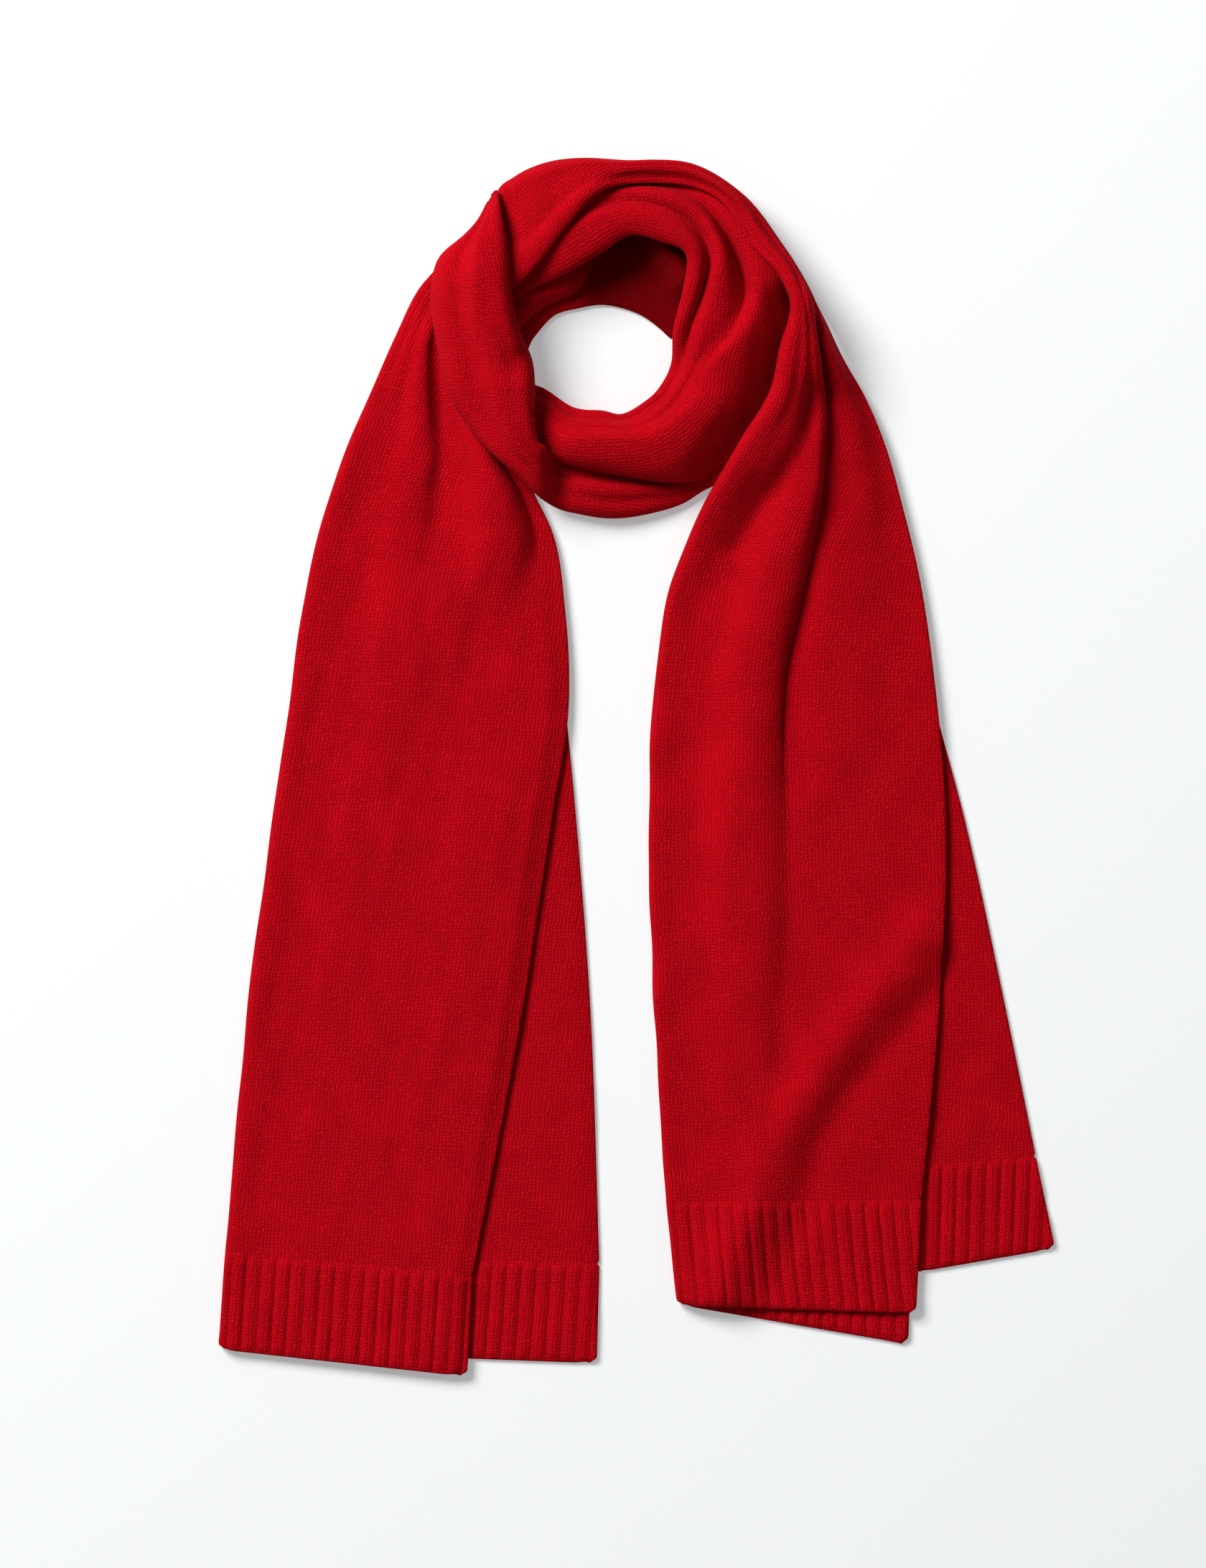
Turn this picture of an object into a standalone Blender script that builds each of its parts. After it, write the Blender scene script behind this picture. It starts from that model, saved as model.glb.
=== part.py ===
"""A knit scarf laid flat, wound once and a half round its neck opening.

The scarf is one knitted strip, 353 mm wide. It is folded and gathered, and each stretch
of it that shows is one closed wall of cloth. A stretch is lofted across its length from
a table of sections. A section is a line across the stretch, from its start point to its
end point in plan, and its fold lines are given as (fraction of the way across, height).

The frame: +X to the right of the wearer's view, +Y to the neck, +Z up from the table.
Tables and sizes are in millimetres from the middle of the scarf, on the table.
"""
import math
from collections import namedtuple

import bmesh
import bpy
from mathutils import Vector
from mathutils.bvhtree import BVHTree

MM = 0.001               # metres in a millimetre

# Driving sizes of the cloth, in millimetres.
WALL = 2.0               # thickness of the knitted cloth
CLEARANCE = 0.45         # between one stretch and the one that it lies on
NO_LIMIT = 99.0          # most that a stretch rises to lie on another one
TUCK = 6.0               # the same for the left turn, whose lower end is tucked under
RIB_REPEAT = 8.3         # two knit and two purl wales of the 2 x 2 rib
RIB_RISE = 1.2           # height of a rib above the furrow beside it
FLANGE = 5.0             # cloth turned under beyond a rolled fold
ROLL_SHARE = 0.26        # most of a section's width that one rolled fold takes
FLANGE_SHARE = 0.38      # the same with its flange
RIB_PROFILE = ((.05, 0), (.45, 0), (.55, 1), (.95, 1))   # (share of a repeat, raised)

YARN_RED = (0.52, 0.0, 0.012, 1.0)

# start and end: plan point, height of the widest point and height of the fold's foot
# (no foot: a plain cut edge). folds: (fraction across, height) of each fold line.
# under: plan point where the layer folded under the start edge ends.
Section = namedtuple("Section", "start end folds under", defaults=(None,))

# A soft fold raised on a stretch: plan ends, half width and rise.
SoftFold = namedtuple("SoftFold", "x0 y0 x1 y1 half_width rise")

# A stretch: its sections, how steep the cloth stands at each fold line (0 level at a
# ridge, 1 upright at a crease), the steps from line to line, rows, soft folds.
Stretch = namedtuple("Stretch", "sections steepness steps rows soft_folds", defaults=((),))


def spaced(*runs):
    """Fractions along a stretch where its rows stand. A run: (share reached, rows)."""
    rows = [0.0]
    for reached, count in runs:
        start = rows[-1]
        rows += [start + (reached - start) * (row + 1) / count for row in range(count)]
    return rows


WELT_ROWS = (0, .08, .5, 1)      # the ribs rise from the plain knit in the first step


# ---------------------------------------------------------------- the stretches

# Left tail, from under the left turn to its welt. Start: the lengthwise fold on its left.
# Folds: shoulder of the edge fold, valley, ridge, valley, ridge.
LEFT_TAIL = Stretch(
    sections=[
        Section((-112.6, 277.4, 2.8, 0), (-98.2, 266.4, 5.6),
                ((.2, 5.6), (.35, 5.6), (.5, 5.6), (.65, 5.6), (.85, 5.6)), (-102.0, 269.4)),
        Section((-120.2, 268.2, 2.8, 0), (-97.4, 254.4, 5.6),
                ((.12, 6), (.28, 6.5), (.45, 7), (.65, 6.5), (.85, 6)), (-103.0, 257.8)),
        Section((-134.2, 241.4, 2.8, 0), (-94.2, 231.4, 6.0),
                ((.08, 6), (.25, 7), (.5, 10), (.72, 9), (.88, 9)), (-102.0, 233.4)),
        Section((-147.8, 210.6, 2.8, 0), (-85.4, 203.4, 6.0),
                ((.055, 6), (.2, 8), (.4, 11), (.62, 8.5), (.79, 14)), (-96.0, 204.6)),
        Section((-160.6, 180.2, 2.8, 0), (-65.4, 171.4, 6.0),
                ((.035, 5.8), (.14, 6.6), (.34, 11), (.53, 8), (.7, 14)), (-76.0, 172.4)),
        Section((-175.8, 136.2, 2.8, 0), (-48.2, 133.4, 5.8),
                ((.026, 5.6), (.14, 6.4), (.33, 10), (.51, 7.5), (.69, 12)), (-56.0, 133.6)),
        Section((-186.2, 89.4, 2.8, 0), (-40.2, 87.4, 5.6),
                ((.022, 5.6), (.15, 6.2), (.34, 8.5), (.5, 7), (.68, 9)), (-45.0, 87.5)),
        Section((-193.4, 35.4, 2.8, 0), (-38.2, 33.4, 5.6),
                ((.021, 5.6), (.16, 5.9), (.33, 7), (.5, 6.2), (.68, 6.6)), (-40.0, 33.4)),
        Section((-203.0, -28.6, 2.8, 0), (-47.4, -28.6, 5.6),
                ((.021, 5.6), (.16, 5.7), (.33, 6.2), (.5, 5.8), (.68, 5.8)), (-34.2, -28.6)),
        Section((-216.2, -128.6, 2.8, 0), (-62.6, -128.6, 5.6),
                ((.021, 5.6), (.16, 5.6), (.33, 5.8), (.5, 5.6), (.68, 5.6)), (-26.6, -128.6)),
        Section((-229.4, -271.4, 2.8, 0), (-91.8, -283.8, 5.6),
                ((.023, 5.6), (.16, 5.6), (.33, 5.6), (.5, 5.6), (.68, 5.6)), (-21.2, -277.6)),
    ],
    steepness=(0, 0, 1, 0, 0, 0, 0, 0, .3),
    steps=(4, 2, 2, 2, 2, 2, 2, 2),
    rows=spaced((.42, 13), (1, 9)),
)

# First wrap, from under the left turn, behind the neck and down its right side, and then
# along the bottom to the left. Start: the edge along the neck opening.
# Folds: inner fold, crease, middle fold, crease, outer fold.
FIRST_WRAP = Stretch(
    sections=[
        Section((-75.4, 253.4, 13, 9), (-85.4, 281.4, 11, 8),
                ((.2, 16), (.35, 15), (.5, 15), (.65, 15), (.8, 14))),
        Section((-64.6, 262.2, 15, 11), (-75.0, 290.6, 11, 7),
                ((.2, 18), (.35, 17.5), (.5, 17), (.65, 16), (.8, 15))),
        Section((-40.6, 273.8, 16, 11), (-60.2, 312.2, 9, 3),
                ((.32, 23), (.58, 20), (.7, 20), (.8, 18), (.9, 15))),
        Section((-16.2, 288.2, 18, 12), (-32.4, 328.8, 8, 0),
                ((.38, 25), (.62, 21), (.72, 22), (.8, 20), (.9, 17))),
        Section((-2.2, 295.8, 20, 14), (5.6, 329.2, 8, 0),
                ((.3, 26), (.62, 22), (.75, 27), (.85, 22), (.92, 19))),
        Section((14.6, 291.8, 21, 15), (39.0, 323.0, 9, 0),
                ((.25, 27), (.52, 20.5), (.66, 29), (.78, 22), (.88, 27))),
        Section((28.6, 282.6, 21, 15), (74.6, 289.4, 12, 2),
                ((.12, 27), (.26, 19), (.38, 30), (.56, 19), (.79, 32))),
        Section((25.8, 264.2, 20, 13), (85.0, 265.4, 10, 2),
                ((.115, 26), (.24, 17), (.36, 29), (.625, 18), (.75, 32))),
        Section((20.6, 244.6, 15, 6), (86.0, 242.6, 9, 1),
                ((.095, 21), (.2, 16), (.31, 28), (.47, 23), (.62, 31))),
        Section((19.8, 225.4, 9, 1), (84.0, 219.4, 8, 0),
                ((.055, 14), (.1, 13.5), (.155, 21), (.225, 23), (.36, 29))),
        Section((13.8, 212.2, 8, 0), (70.8, 194.4, 8.4, 2),
                ((.06, 14), (.11, 16), (.18, 20), (.27, 24), (.45, 29))),
        Section((3.8, 203.4, 8, 0), (44.8, 162.4, 12, 7.4),
                ((.06, 14), (.12, 17), (.19, 20.5), (.28, 25), (.48, 29))),
        Section((-6.2, 198.2, 8, 0), (22.8, 158.8, 12.5, 7.8),
                ((.07, 14), (.14, 18), (.22, 22), (.32, 26), (.5, 29))),
        Section((-18.2, 199.0, 8, 0), (-14.2, 163.6, 13, 8),
                ((.09, 14), (.18, 18), (.28, 22), (.4, 26), (.56, 28))),
        Section((-35.4, 201.0, 8, 0), (-39.4, 169.0, 11, 5),
                ((.09, 14), (.18, 18), (.28, 21), (.4, 24), (.56, 25))),
        Section((-52.2, 212.2, 6, 0), (-54.2, 175.4, 7, 0),
                ((.09, 10), (.18, 13), (.28, 16), (.4, 18), (.58, 19))),
        Section((-65.4, 215.4, 5, 0), (-69.4, 182.6, 6, 0),
                ((.1, 8), (.2, 11), (.3, 13), (.42, 14), (.6, 14))),
    ],
    steepness=(0, 0, 1, 0, .6, 0, .6, 0, 1, 0, 0),
    steps=(1, 2, 2, 2, 2, 2, 2, 3, 2, 1),
    rows=spaced((1, 37)),
)

# Left turn, from the bottom right along the lower fold and up the left side to the peak.
# Start: the edge towards the neck opening. Folds: ridge, saddle, ridge.
LEFT_TURN = Stretch(
    sections=[
        Section((39.4, 166.4, 2.7, 0), (38.4, 154.6, 2.7, 0), ((.3, 5.4), (.5, 5.4), (.7, 5.4))),
        Section((24.6, 164.4, 3, 0), (26.8, 148.2, 3, 0), ((.22, 6.2), (.5, 6.8), (.78, 6.4))),
        Section((8.0, 165.4, 3.2, 0), (11.0, 142.8, 4, 0), ((.18, 6.4), (.5, 11), (.75, 11))),
        Section((-14.2, 168.4, 3.2, 0), (-14.2, 139.0, 6, 0), ((.16, 6.6), (.5, 14), (.75, 14))),
        Section((-37.4, 168.2, 5, 0), (-41.0, 143.8, 6, 0), ((.25, 11), (.5, 16), (.72, 16))),
        Section((-50.2, 173.4, 15, 7), (-64.2, 158.6, 13, 8), ((.3, 23), (.5, 25), (.7, 22))),
        Section((-53.4, 181.0, 25, 19), (-78.2, 171.4, 17, 11), ((.3, 33), (.5, 34), (.7, 31))),
        Section((-56.2, 195.4, 27, 20), (-92.2, 188.6, 20, 14), ((.25, 36), (.5, 38), (.76, 35))),
        Section((-55.8, 210.6, 22, 12), (-104.6, 208.2, 20, 14), ((.25, 34), (.5, 38), (.78, 36))),
        Section((-57.8, 227.4, 15, 7), (-109.8, 229.4, 17, 12), ((.25, 31), (.5, 36), (.78, 37))),
        Section((-65.4, 245.4, 21, 14), (-113.8, 251.4, 16, 10.5), ((.2, 33), (.5, 38), (.8, 37))),
        Section((-69.4, 267.4, 28, 22), (-114.2, 266.6, 15, 8), ((.2, 37), (.5, 40), (.8, 35))),
        Section((-71.0, 287.4, 32, 26), (-109.4, 285.0, 11, 4), ((.2, 39), (.5, 40), (.78, 30))),
        Section((-73.4, 302.4, 32, 27.6), (-95.0, 297.6, 14, 9.6), ((.22, 37), (.5, 36.5), (.78, 29))),
        Section((-75.8, 313.0, 30.4, 27), (-89.4, 304.6, 20, 16.4), ((.25, 34), (.5, 34), (.76, 30))),
        Section((-77.0, 322.0, 27.4, 24), (-86.4, 311.6, 24, 20.6), ((.28, 31), (.5, 31.4), (.72, 30))),
    ],
    steepness=(0, 0, 1, 0, 0, 0, 1, 0, 0),
    steps=(1, 2, 3, 2, 2, 3, 2, 1),
    rows=spaced((1, 34)),
    soft_folds=[
        SoftFold(-64, 214, -84, 240, 9, -3.5),
    ],
)

# Folds that run slantwise down the right tail and into its welt.
RIGHT_TAIL_FOLDS = (
    SoftFold(132, -100, 52, -215, 18, 3.5),
    SoftFold(60, -190, 32, -280, 16, 2.5),
)

# Second wrap and right tail, from under the left turn over the top, down the right side
# and on to the welt. Start: the edge towards the neck opening, and then the lengthwise
# fold on the left of the tail. Folds: ridge, valley, ridge, side or crease, foot or crest,
# edge. Up in the loop the last two are turned under the outer side.
SECOND_WRAP = Stretch(
    sections=[
        Section((-82.0, 262.2, 22, 18), (-83.6, 301.0),
                ((.35, 26), (.6, 22), (.84, 16), (1, 8), (.98, 5), (.94, 0))),
        Section((-72.0, 264.2, 22, 18), (-77.0, 321.6),
                ((.43, 27), (.75, 21), (.88, 18), (1, 9), (.99, 5), (.96, 0))),
        Section((-59.0, 274.2, 25, 20), (-67.0, 327.8),
                ((.36, 31), (.78, 24), (.9, 25), (1, 12), (.99, 6), (.96, 0))),
        Section((-38.2, 299.4, 28, 23), (-50.2, 335.4),
                ((.4, 36), (.64, 29), (.82, 30), (1, 13), (.985, 6), (.95, 0))),
        Section((-22.2, 317.8, 30, 25), (-31.0, 338.6),
                ((.44, 38), (.6, 34), (.76, 34), (1, 14), (.98, 7), (.93, 0))),
        Section((-2.2, 324.6, 32, 28), (-3.8, 338.2),
                ((.42, 39), (.58, 37), (.74, 36), (1, 16), (.97, 8), (.9, 0))),
        Section((25.8, 324.2, 32.6, 29), (28.6, 337.2),
                ((.4, 40), (.56, 39), (.72, 37), (1, 16), (.97, 8), (.9, 0))),
        Section((47.8, 315.0, 32.6, 29.3), (57.8, 321.8),
                ((.4, 40), (.56, 39.5), (.72, 37), (1, 16), (.97, 8), (.9, 0))),
        Section((65.0, 288.6, 32.4, 29), (81.8, 292.6),
                ((.38, 41), (.56, 40), (.74, 38), (1, 16), (.97, 8), (.9, 0))),
        Section((78.6, 274.2, 31.4, 28), (90.6, 279.0),
                ((.38, 41), (.55, 41), (.74, 39), (1, 16), (.97, 8), (.9, 0))),
        Section((85.8, 257.4, 29.4, 26), (100.4, 260.4),
                ((.3, 41), (.41, 41), (.53, 41), (.8, 16), (.9, 9), (1, 2))),
        Section((84.4, 247.4, 28, 24), (107.2, 247.0),
                ((.25, 41), (.36, 40.5), (.47, 41), (.65, 13), (.84, 11.5), (1, 3))),
        Section((81.0, 236.6, 27, 21), (113.8, 232.6),
                ((.22, 41), (.36, 39.5), (.5, 41), (.63, 12), (.83, 12.5), (1, 4))),
        Section((71.4, 209.4, 27, 19), (125.4, 206.2),
                ((.22, 40), (.4, 34), (.55, 39), (.645, 12), (.84, 13.5), (1, 4.5))),
        Section((53.0, 178.6, 25, 18), (137.8, 179.4),
                ((.2, 36), (.38, 27), (.59, 35), (.655, 9), (.83, 13), (1, 5))),
        Section((36.6, 147.4, 11, 4), (147.8, 147.4),
                ((.14, 24), (.31, 17), (.56, 27), (.62, 8), (.8, 11), (1, 5.6)), (52.0, 147.4)),
        Section((21.4, 107.4, 4, 0), (157.4, 107.4),
                ((.06, 10), (.2, 9.5), (.48, 18), (.55, 7.5), (.74, 9), (1, 5.6)), (80.0, 107.4)),
        Section((10.6, 47.4, 2.8, 0), (166.2, 47.4),
                ((.024, 6), (.17, 7), (.34, 11), (.45, 6.4), (.62, 7), (1, 5.6)), (118.0, 47.4)),
        Section((7.4, -32.6, 2.8, 0), (172.6, -32.6),
                ((.02, 5.6), (.16, 6.2), (.29, 8.5), (.42, 5.8), (.6, 6.2), (1, 5.6)), (146.0, -32.6)),
        Section((10.2, -132.6, 2.8, 0), (169.0, -132.6),
                ((.02, 5.6), (.16, 5.8), (.3, 6.4), (.42, 5.7), (.6, 5.8), (1, 5.6)), (157.0, -132.6)),
        Section((17.0, -242.6, 2.8, 0), (159.0, -241.6),
                ((.023, 5.8), (.16, 7), (.3, 6.7), (.42, 5.7), (.6, 5.6), (1, 5.6)), (153.6, -241.6)),
    ],
    steepness=(0, 0, 1, 0, 0, 0, 1, 0, .3),
    steps=(2, 3, 3, 2, 2, 3, 2, 3),
    rows=spaced((.5, 32), (1, 15)),
    soft_folds=RIGHT_TAIL_FOLDS,
)

# Back of the right tail, flat on the table beside the layer folded under the front.
RIGHT_TAIL_BACK = Stretch(
    sections=[
        Section((127.8, 150.4, 2.0), (143.0, 150.4, 2.0), ((.5, 2.0),)),
        Section((149.0, 47.4, 2.0), (163.0, 47.4, 2.0), ((.5, 2.0),)),
        Section((154.8, -32.6, 2.0), (183.8, -32.6, 2.0), ((.5, 2.0),)),
        Section((160.4, -132.6, 2.0), (205.4, -132.6, 2.0), ((.5, 2.0),)),
        Section((157.2, -223.0, 2.0), (222.8, -217.6, 2.0), ((.5, 2.0),)),
    ],
    steepness=(0, 0, 0),
    steps=(1, 2),
    rows=spaced((1, 8)),
)

# Welts: a section where the ribs start and one at the hem. The last value of a row is
# where the layer folded under ends.
LEFT_WELT = Stretch(
    sections=[
        Section((-229.4, -271.7, 2.8, 0), (-91.8, -284.1, 5.6),
                ((.023, 5.6), (.3, 5.6), (.68, 5.6)), (-21.2, -277.9)),
        Section((-233.4, -324.2, 2.8, 0), (-95.0, -339.4, 5.6),
                ((.023, 5.6), (.3, 5.6), (.68, 5.6)), (-22.6, -332.2)),
    ],
    steepness=(0, 0, 1, 0, 0, 0, .3),
    steps=(4, 3, 3, 2, 2, 2),
    rows=WELT_ROWS,
)
RIGHT_WELT = Stretch(
    sections=[
        Section((17.0, -242.9, 2.8, 0), (159.0, -241.9, 5.6),
                ((.023, 5.8), (.16, 7.2), (.3, 6.7), (.45, 5.8)), (153.6, -241.9)),
        Section((23.0, -299.8, 3.6, 0), (155.8, -304.2, 5.6),
                ((.03, 7), (.16, 11), (.32, 8), (.48, 5.8)), (151.6, -321.4)),
    ],
    steepness=(0, 0, 1, 0, 0, 0, 0, .3),
    steps=(4, 3, 3, 3, 3, 3, 3),
    rows=WELT_ROWS,
    soft_folds=RIGHT_TAIL_FOLDS,
)
RIGHT_BACK_WELT = Stretch(
    sections=[
        Section((157.2, -223.3, 2.0), (222.8, -217.9, 2.0), ((.5, 2.0),)),
        Section((155.8, -281.6, 2.0), (233.4, -268.2, 2.0), ((.5, 2.0),)),
    ],
    steepness=(0, 0, 0),
    steps=(1, 1),
    rows=WELT_ROWS,
)

# Hidden layers: the strip's own folds inside the loop. Start: their edge along the neck
# opening. Folds: lowest layer, step, roll above it, top under the first wrap.
HIDDEN_LAYERS = Stretch(
    sections=[
        Section((-59.4, 222.2, 2.5), (-87.0, 222.2, 3.0), ((.15, 5), (.3, 5), (.55, 8), (.85, 7))),
        Section((-59.8, 233.8, 2.5), (-89.4, 245.4, 3.0), ((.12, 5), (.25, 5), (.5, 8), (.85, 7))),
        Section((-53.4, 245.0, 2.5), (-85.4, 269.4, 3.0), ((.12, 4.5), (.2, 4), (.4, 12), (.8, 7))),
        Section((-45.0, 253.0, 2.5), (-74.2, 295.4, 3.0), ((.06, 4.5), (.12, 4), (.3, 13), (.7, 8))),
        Section((-32.2, 257.0, 2.5), (-46.2, 318.2, 3.0), ((.06, 4.5), (.13, 4), (.27, 14), (.7, 9))),
        Section((-16.2, 259.0, 2.5), (-14.2, 323.4, 3.0), ((.1, 4.5), (.42, 4), (.55, 7), (.75, 9))),
        Section((-0.2, 255.0, 2.5), (20.8, 323.4, 3.0), ((.1, 4.5), (.38, 4.5), (.6, 11), (.78, 9))),
        Section((13.0, 246.6, 2.5), (54.8, 305.4, 3.0), ((.07, 4), (.16, 4.5), (.36, 15), (.7, 10))),
        Section((19.8, 240.2, 2.5), (70.0, 273.4, 3.0), ((.05, 3), (.1, 3.5), (.4, 7), (.7, 7))),
    ],
    steepness=(1, 0, .9, 0, 0, 1),
    steps=(2, 1, 2, 3, 3),
    rows=spaced((1, 26)),
)


# ------------------------------------------------------------ curves and lofting

def smooth_value(values, knots, where):
    """Value of the smooth curve through values, given at knots, at the distance where."""
    last = len(knots) - 1
    i = 0
    while i < last - 1 and where > knots[i + 1]:
        i += 1

    def slope(k):
        if k == 0:
            return (values[1] - values[0]) / (knots[1] - knots[0])
        if k == last:
            return (values[last] - values[last - 1]) / (knots[last] - knots[last - 1])
        before = knots[k] - knots[k - 1]
        after = knots[k + 1] - knots[k]
        rise_before = (values[k] - values[k - 1]) / before
        rise_after = (values[k + 1] - values[k]) / after
        return (rise_before * after + rise_after * before) / (before + after)

    span = knots[i + 1] - knots[i]
    t = (where - knots[i]) / span
    bend_in = span * slope(i)
    bend_out = span * slope(i + 1)
    return (values[i] * (2 * t ** 3 - 3 * t ** 2 + 1)
            + bend_in * (t ** 3 - 2 * t ** 2 + t)
            + values[i + 1] * (3 * t ** 2 - 2 * t ** 3)
            + bend_out * (t ** 3 - t ** 2))


def section_points(section):
    """Points across a section: the layer under the start edge, the folds, the end edge."""
    start = Vector(section.start[:3])
    end = Vector((section.end[0], section.end[1], 0))
    across = Vector((end.x - start.x, end.y - start.y, 0))
    width = across.length
    inward = across / width
    points = []
    if len(section.start) == 4:
        foot = section.start[3]
        roll = min(start.z - foot, ROLL_SHARE * width)
        under = start + inward * min(roll + FLANGE, FLANGE_SHARE * width)
        if section.under:
            under = Vector((section.under[0], section.under[1], 0))
        points += [Vector((under.x, under.y, foot)), start + inward * roll]
        points[-1].z = foot
    points.append(start)
    for fraction, height in section.folds:
        points.append(Vector((start.x, start.y, height)) + across * fraction)
    if len(section.end) >= 3:
        points.append(end + Vector((0, 0, section.end[2])))
    if len(section.end) == 4:
        foot = section.end[3]
        roll = min(section.end[2] - foot, ROLL_SHARE * width)
        reach = min(roll + FLANGE, FLANGE_SHARE * width)
        points.append(end - inward * roll + Vector((0, 0, foot)))
        points.append(end - inward * reach + Vector((0, 0, foot)))
    return points


def fold_arc(a, b, steep_a, steep_b, t):
    """Point at t on the curve from a to b. It leaves a level, or upright where steep_a is 1.

    Where the drop is deeper than it is wide, its side stands straight under a round top.
    """
    pull = 0.55
    plan = Vector((b.x - a.x, b.y - a.y, 0))
    rise = Vector((0, 0, b.z - a.z))
    stand = max(pull, 1 - (1 - pull) * plan.length / max(rise.length, 0.01))
    leave = a + (1 - steep_a) * pull * plan + steep_a * stand * rise
    arrive = b - (1 - steep_b) * pull * plan - steep_b * stand * rise
    s = 1 - t
    return s ** 3 * a + 3 * s * s * t * leave + 3 * s * t * t * arrive + t ** 3 * b


def soft_rise(soft_folds, x, y):
    """Height that the soft folds add at a plan point."""
    total = 0.0
    for fold in soft_folds:
        run = Vector((fold.x1 - fold.x0, fold.y1 - fold.y0))
        offset = Vector((x - fold.x0, y - fold.y0))
        t = max(0.0, min(1.0, offset.dot(run) / run.dot(run)))
        distance = (offset - run * t).length
        total += fold.rise * math.exp(-(distance / fold.half_width) ** 2)
    return total


def loft(stretch):
    """Grid of points on the outer face of a stretch: a row for each step along it."""
    table = [section_points(section) for section in stretch.sections]
    middles = [(points[2] + points[-3]) / 2 if len(points) > 4 else points[0] for points in table]
    knots = [0.0]
    for before, after in zip(middles, middles[1:]):
        knots.append(knots[-1] + math.hypot(after.x - before.x, after.y - before.y))
    grid = []
    for share in stretch.rows:
        where = knots[-1] * share
        line = [smooth_value([points[k] for points in table], knots, where)
                for k in range(len(table[0]))]
        cells = [line[0]]
        for k, steps in enumerate(stretch.steps):
            steep_a = stretch.steepness[k]
            steep_b = stretch.steepness[k + 1]
            for step in range(1, steps + 1):
                cells.append(fold_arc(line[k], line[k + 1], steep_a, steep_b, step / steps))
        grid.append(cells)
    layer = stretch.steps[0] + stretch.steps[1] if stretch.steepness[:3] == (0, 0, 1) else 0
    for cells in grid:
        for point in cells[layer:]:
            point.z += soft_rise(stretch.soft_folds, point.x, point.y)
    return grid


def grid_normals(grid):
    """Unit normal of the outer face at each point of a grid."""
    rows, columns = len(grid), len(grid[0])
    normals = []
    for r in range(rows):
        line = []
        for c in range(columns):
            along = grid[min(r + 1, rows - 1)][c] - grid[max(r - 1, 0)][c]
            across = grid[r][min(c + 1, columns - 1)] - grid[r][max(c - 1, 0)]
            line.append(along.cross(across).normalized())
        normals.append(line)
    return normals


def inner_face(grid):
    """Grid of the wall's inner face, one thickness of cloth inside its outer face."""
    return [[point - normal * WALL for point, normal in zip(points, line)]
            for points, line in zip(grid, grid_normals(grid))]


# ----------------------------------------------------------------- laying on

def lift_onto(outer, inner, below, most):
    """Raise a wall where it would touch what lies below it, and ease the lift out.

    Where it would have to rise further than most, it passes under instead.
    """
    rows, columns = len(outer), len(outer[0])
    reach = 3.0
    needs = []
    for r in range(rows):
        line = []
        for c in range(columns):
            need = 0.0
            for point in (outer[r][c], inner[r][c]):
                for dx, dy in ((0, 0), (reach, 0), (-reach, 0), (0, reach), (0, -reach)):
                    for tree in below:
                        above = Vector((point.x + dx, point.y + dy, 200))
                        hit = tree.ray_cast(above, Vector((0, 0, -1)))[0]
                        if hit and hit.z + CLEARANCE - point.z < most:
                            need = max(need, hit.z + CLEARANCE - point.z)
            line.append(need)
        needs.append(line)
    lifts = [line[:] for line in needs]
    for _ in range(12):
        eased = []
        for r in range(rows):
            line = []
            for c in range(columns):
                up = lifts[max(r - 1, 0)][c]
                down = lifts[min(r + 1, rows - 1)][c]
                left = lifts[r][max(c - 1, 0)]
                right = lifts[r][min(c + 1, columns - 1)]
                line.append(max(needs[r][c], (up + down + left + right) / 4))
            eased.append(line)
        lifts = eased
    for face in (outer, inner):
        for points, line in zip(face, lifts):
            for point, lift in zip(points, line):
                point.z += lift


# ------------------------------------------------------------------- meshes

def to_object(name, verts, faces, collection, material):
    """Closed mesh object from points in millimetres, faces turned outwards."""
    mesh = bpy.data.meshes.new(name)
    mesh.from_pydata([vert * MM for vert in verts], [], faces)
    mesh.materials.append(material)
    cleaned = bmesh.new()
    cleaned.from_mesh(mesh)
    bmesh.ops.recalc_face_normals(cleaned, faces=cleaned.faces)
    cleaned.to_mesh(mesh)
    cleaned.free()
    mesh.shade_smooth()
    mesh.set_sharp_from_angle(angle=math.radians(60))
    piece = bpy.data.objects.new(name, mesh)
    collection.objects.link(piece)
    return piece


def wall_object(name, outer, inner, collection, material):
    """Closed wall between an outer and an inner grid."""
    rows, columns = len(outer), len(outer[0])
    verts = [point for line in outer for point in line]
    verts += [point for line in inner for point in line]
    for vert in verts:
        vert.z = max(vert.z, 0.0)
    back = rows * columns

    def at(r, c):
        return r * columns + c

    faces = []
    for r in range(rows - 1):
        for c in range(columns - 1):
            near, far = at(r, c), at(r + 1, c + 1)
            for face in ((near, near + 1, far), (near, far, far - 1)):
                faces.append(face)
                faces.append(tuple(back + v for v in reversed(face)))
    for c in range(columns - 1):
        faces.append((at(0, c + 1), at(0, c), back + at(0, c), back + at(0, c + 1)))
        end = rows - 1
        faces.append((at(end, c), at(end, c + 1), back + at(end, c + 1), back + at(end, c)))
    for r in range(rows - 1):
        faces.append((at(r, 0), at(r + 1, 0), back + at(r + 1, 0), back + at(r, 0)))
        end = columns - 1
        faces.append((at(r + 1, end), at(r, end), back + at(r, end), back + at(r + 1, end)))
    return to_object(name, verts, faces, collection, material)


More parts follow.
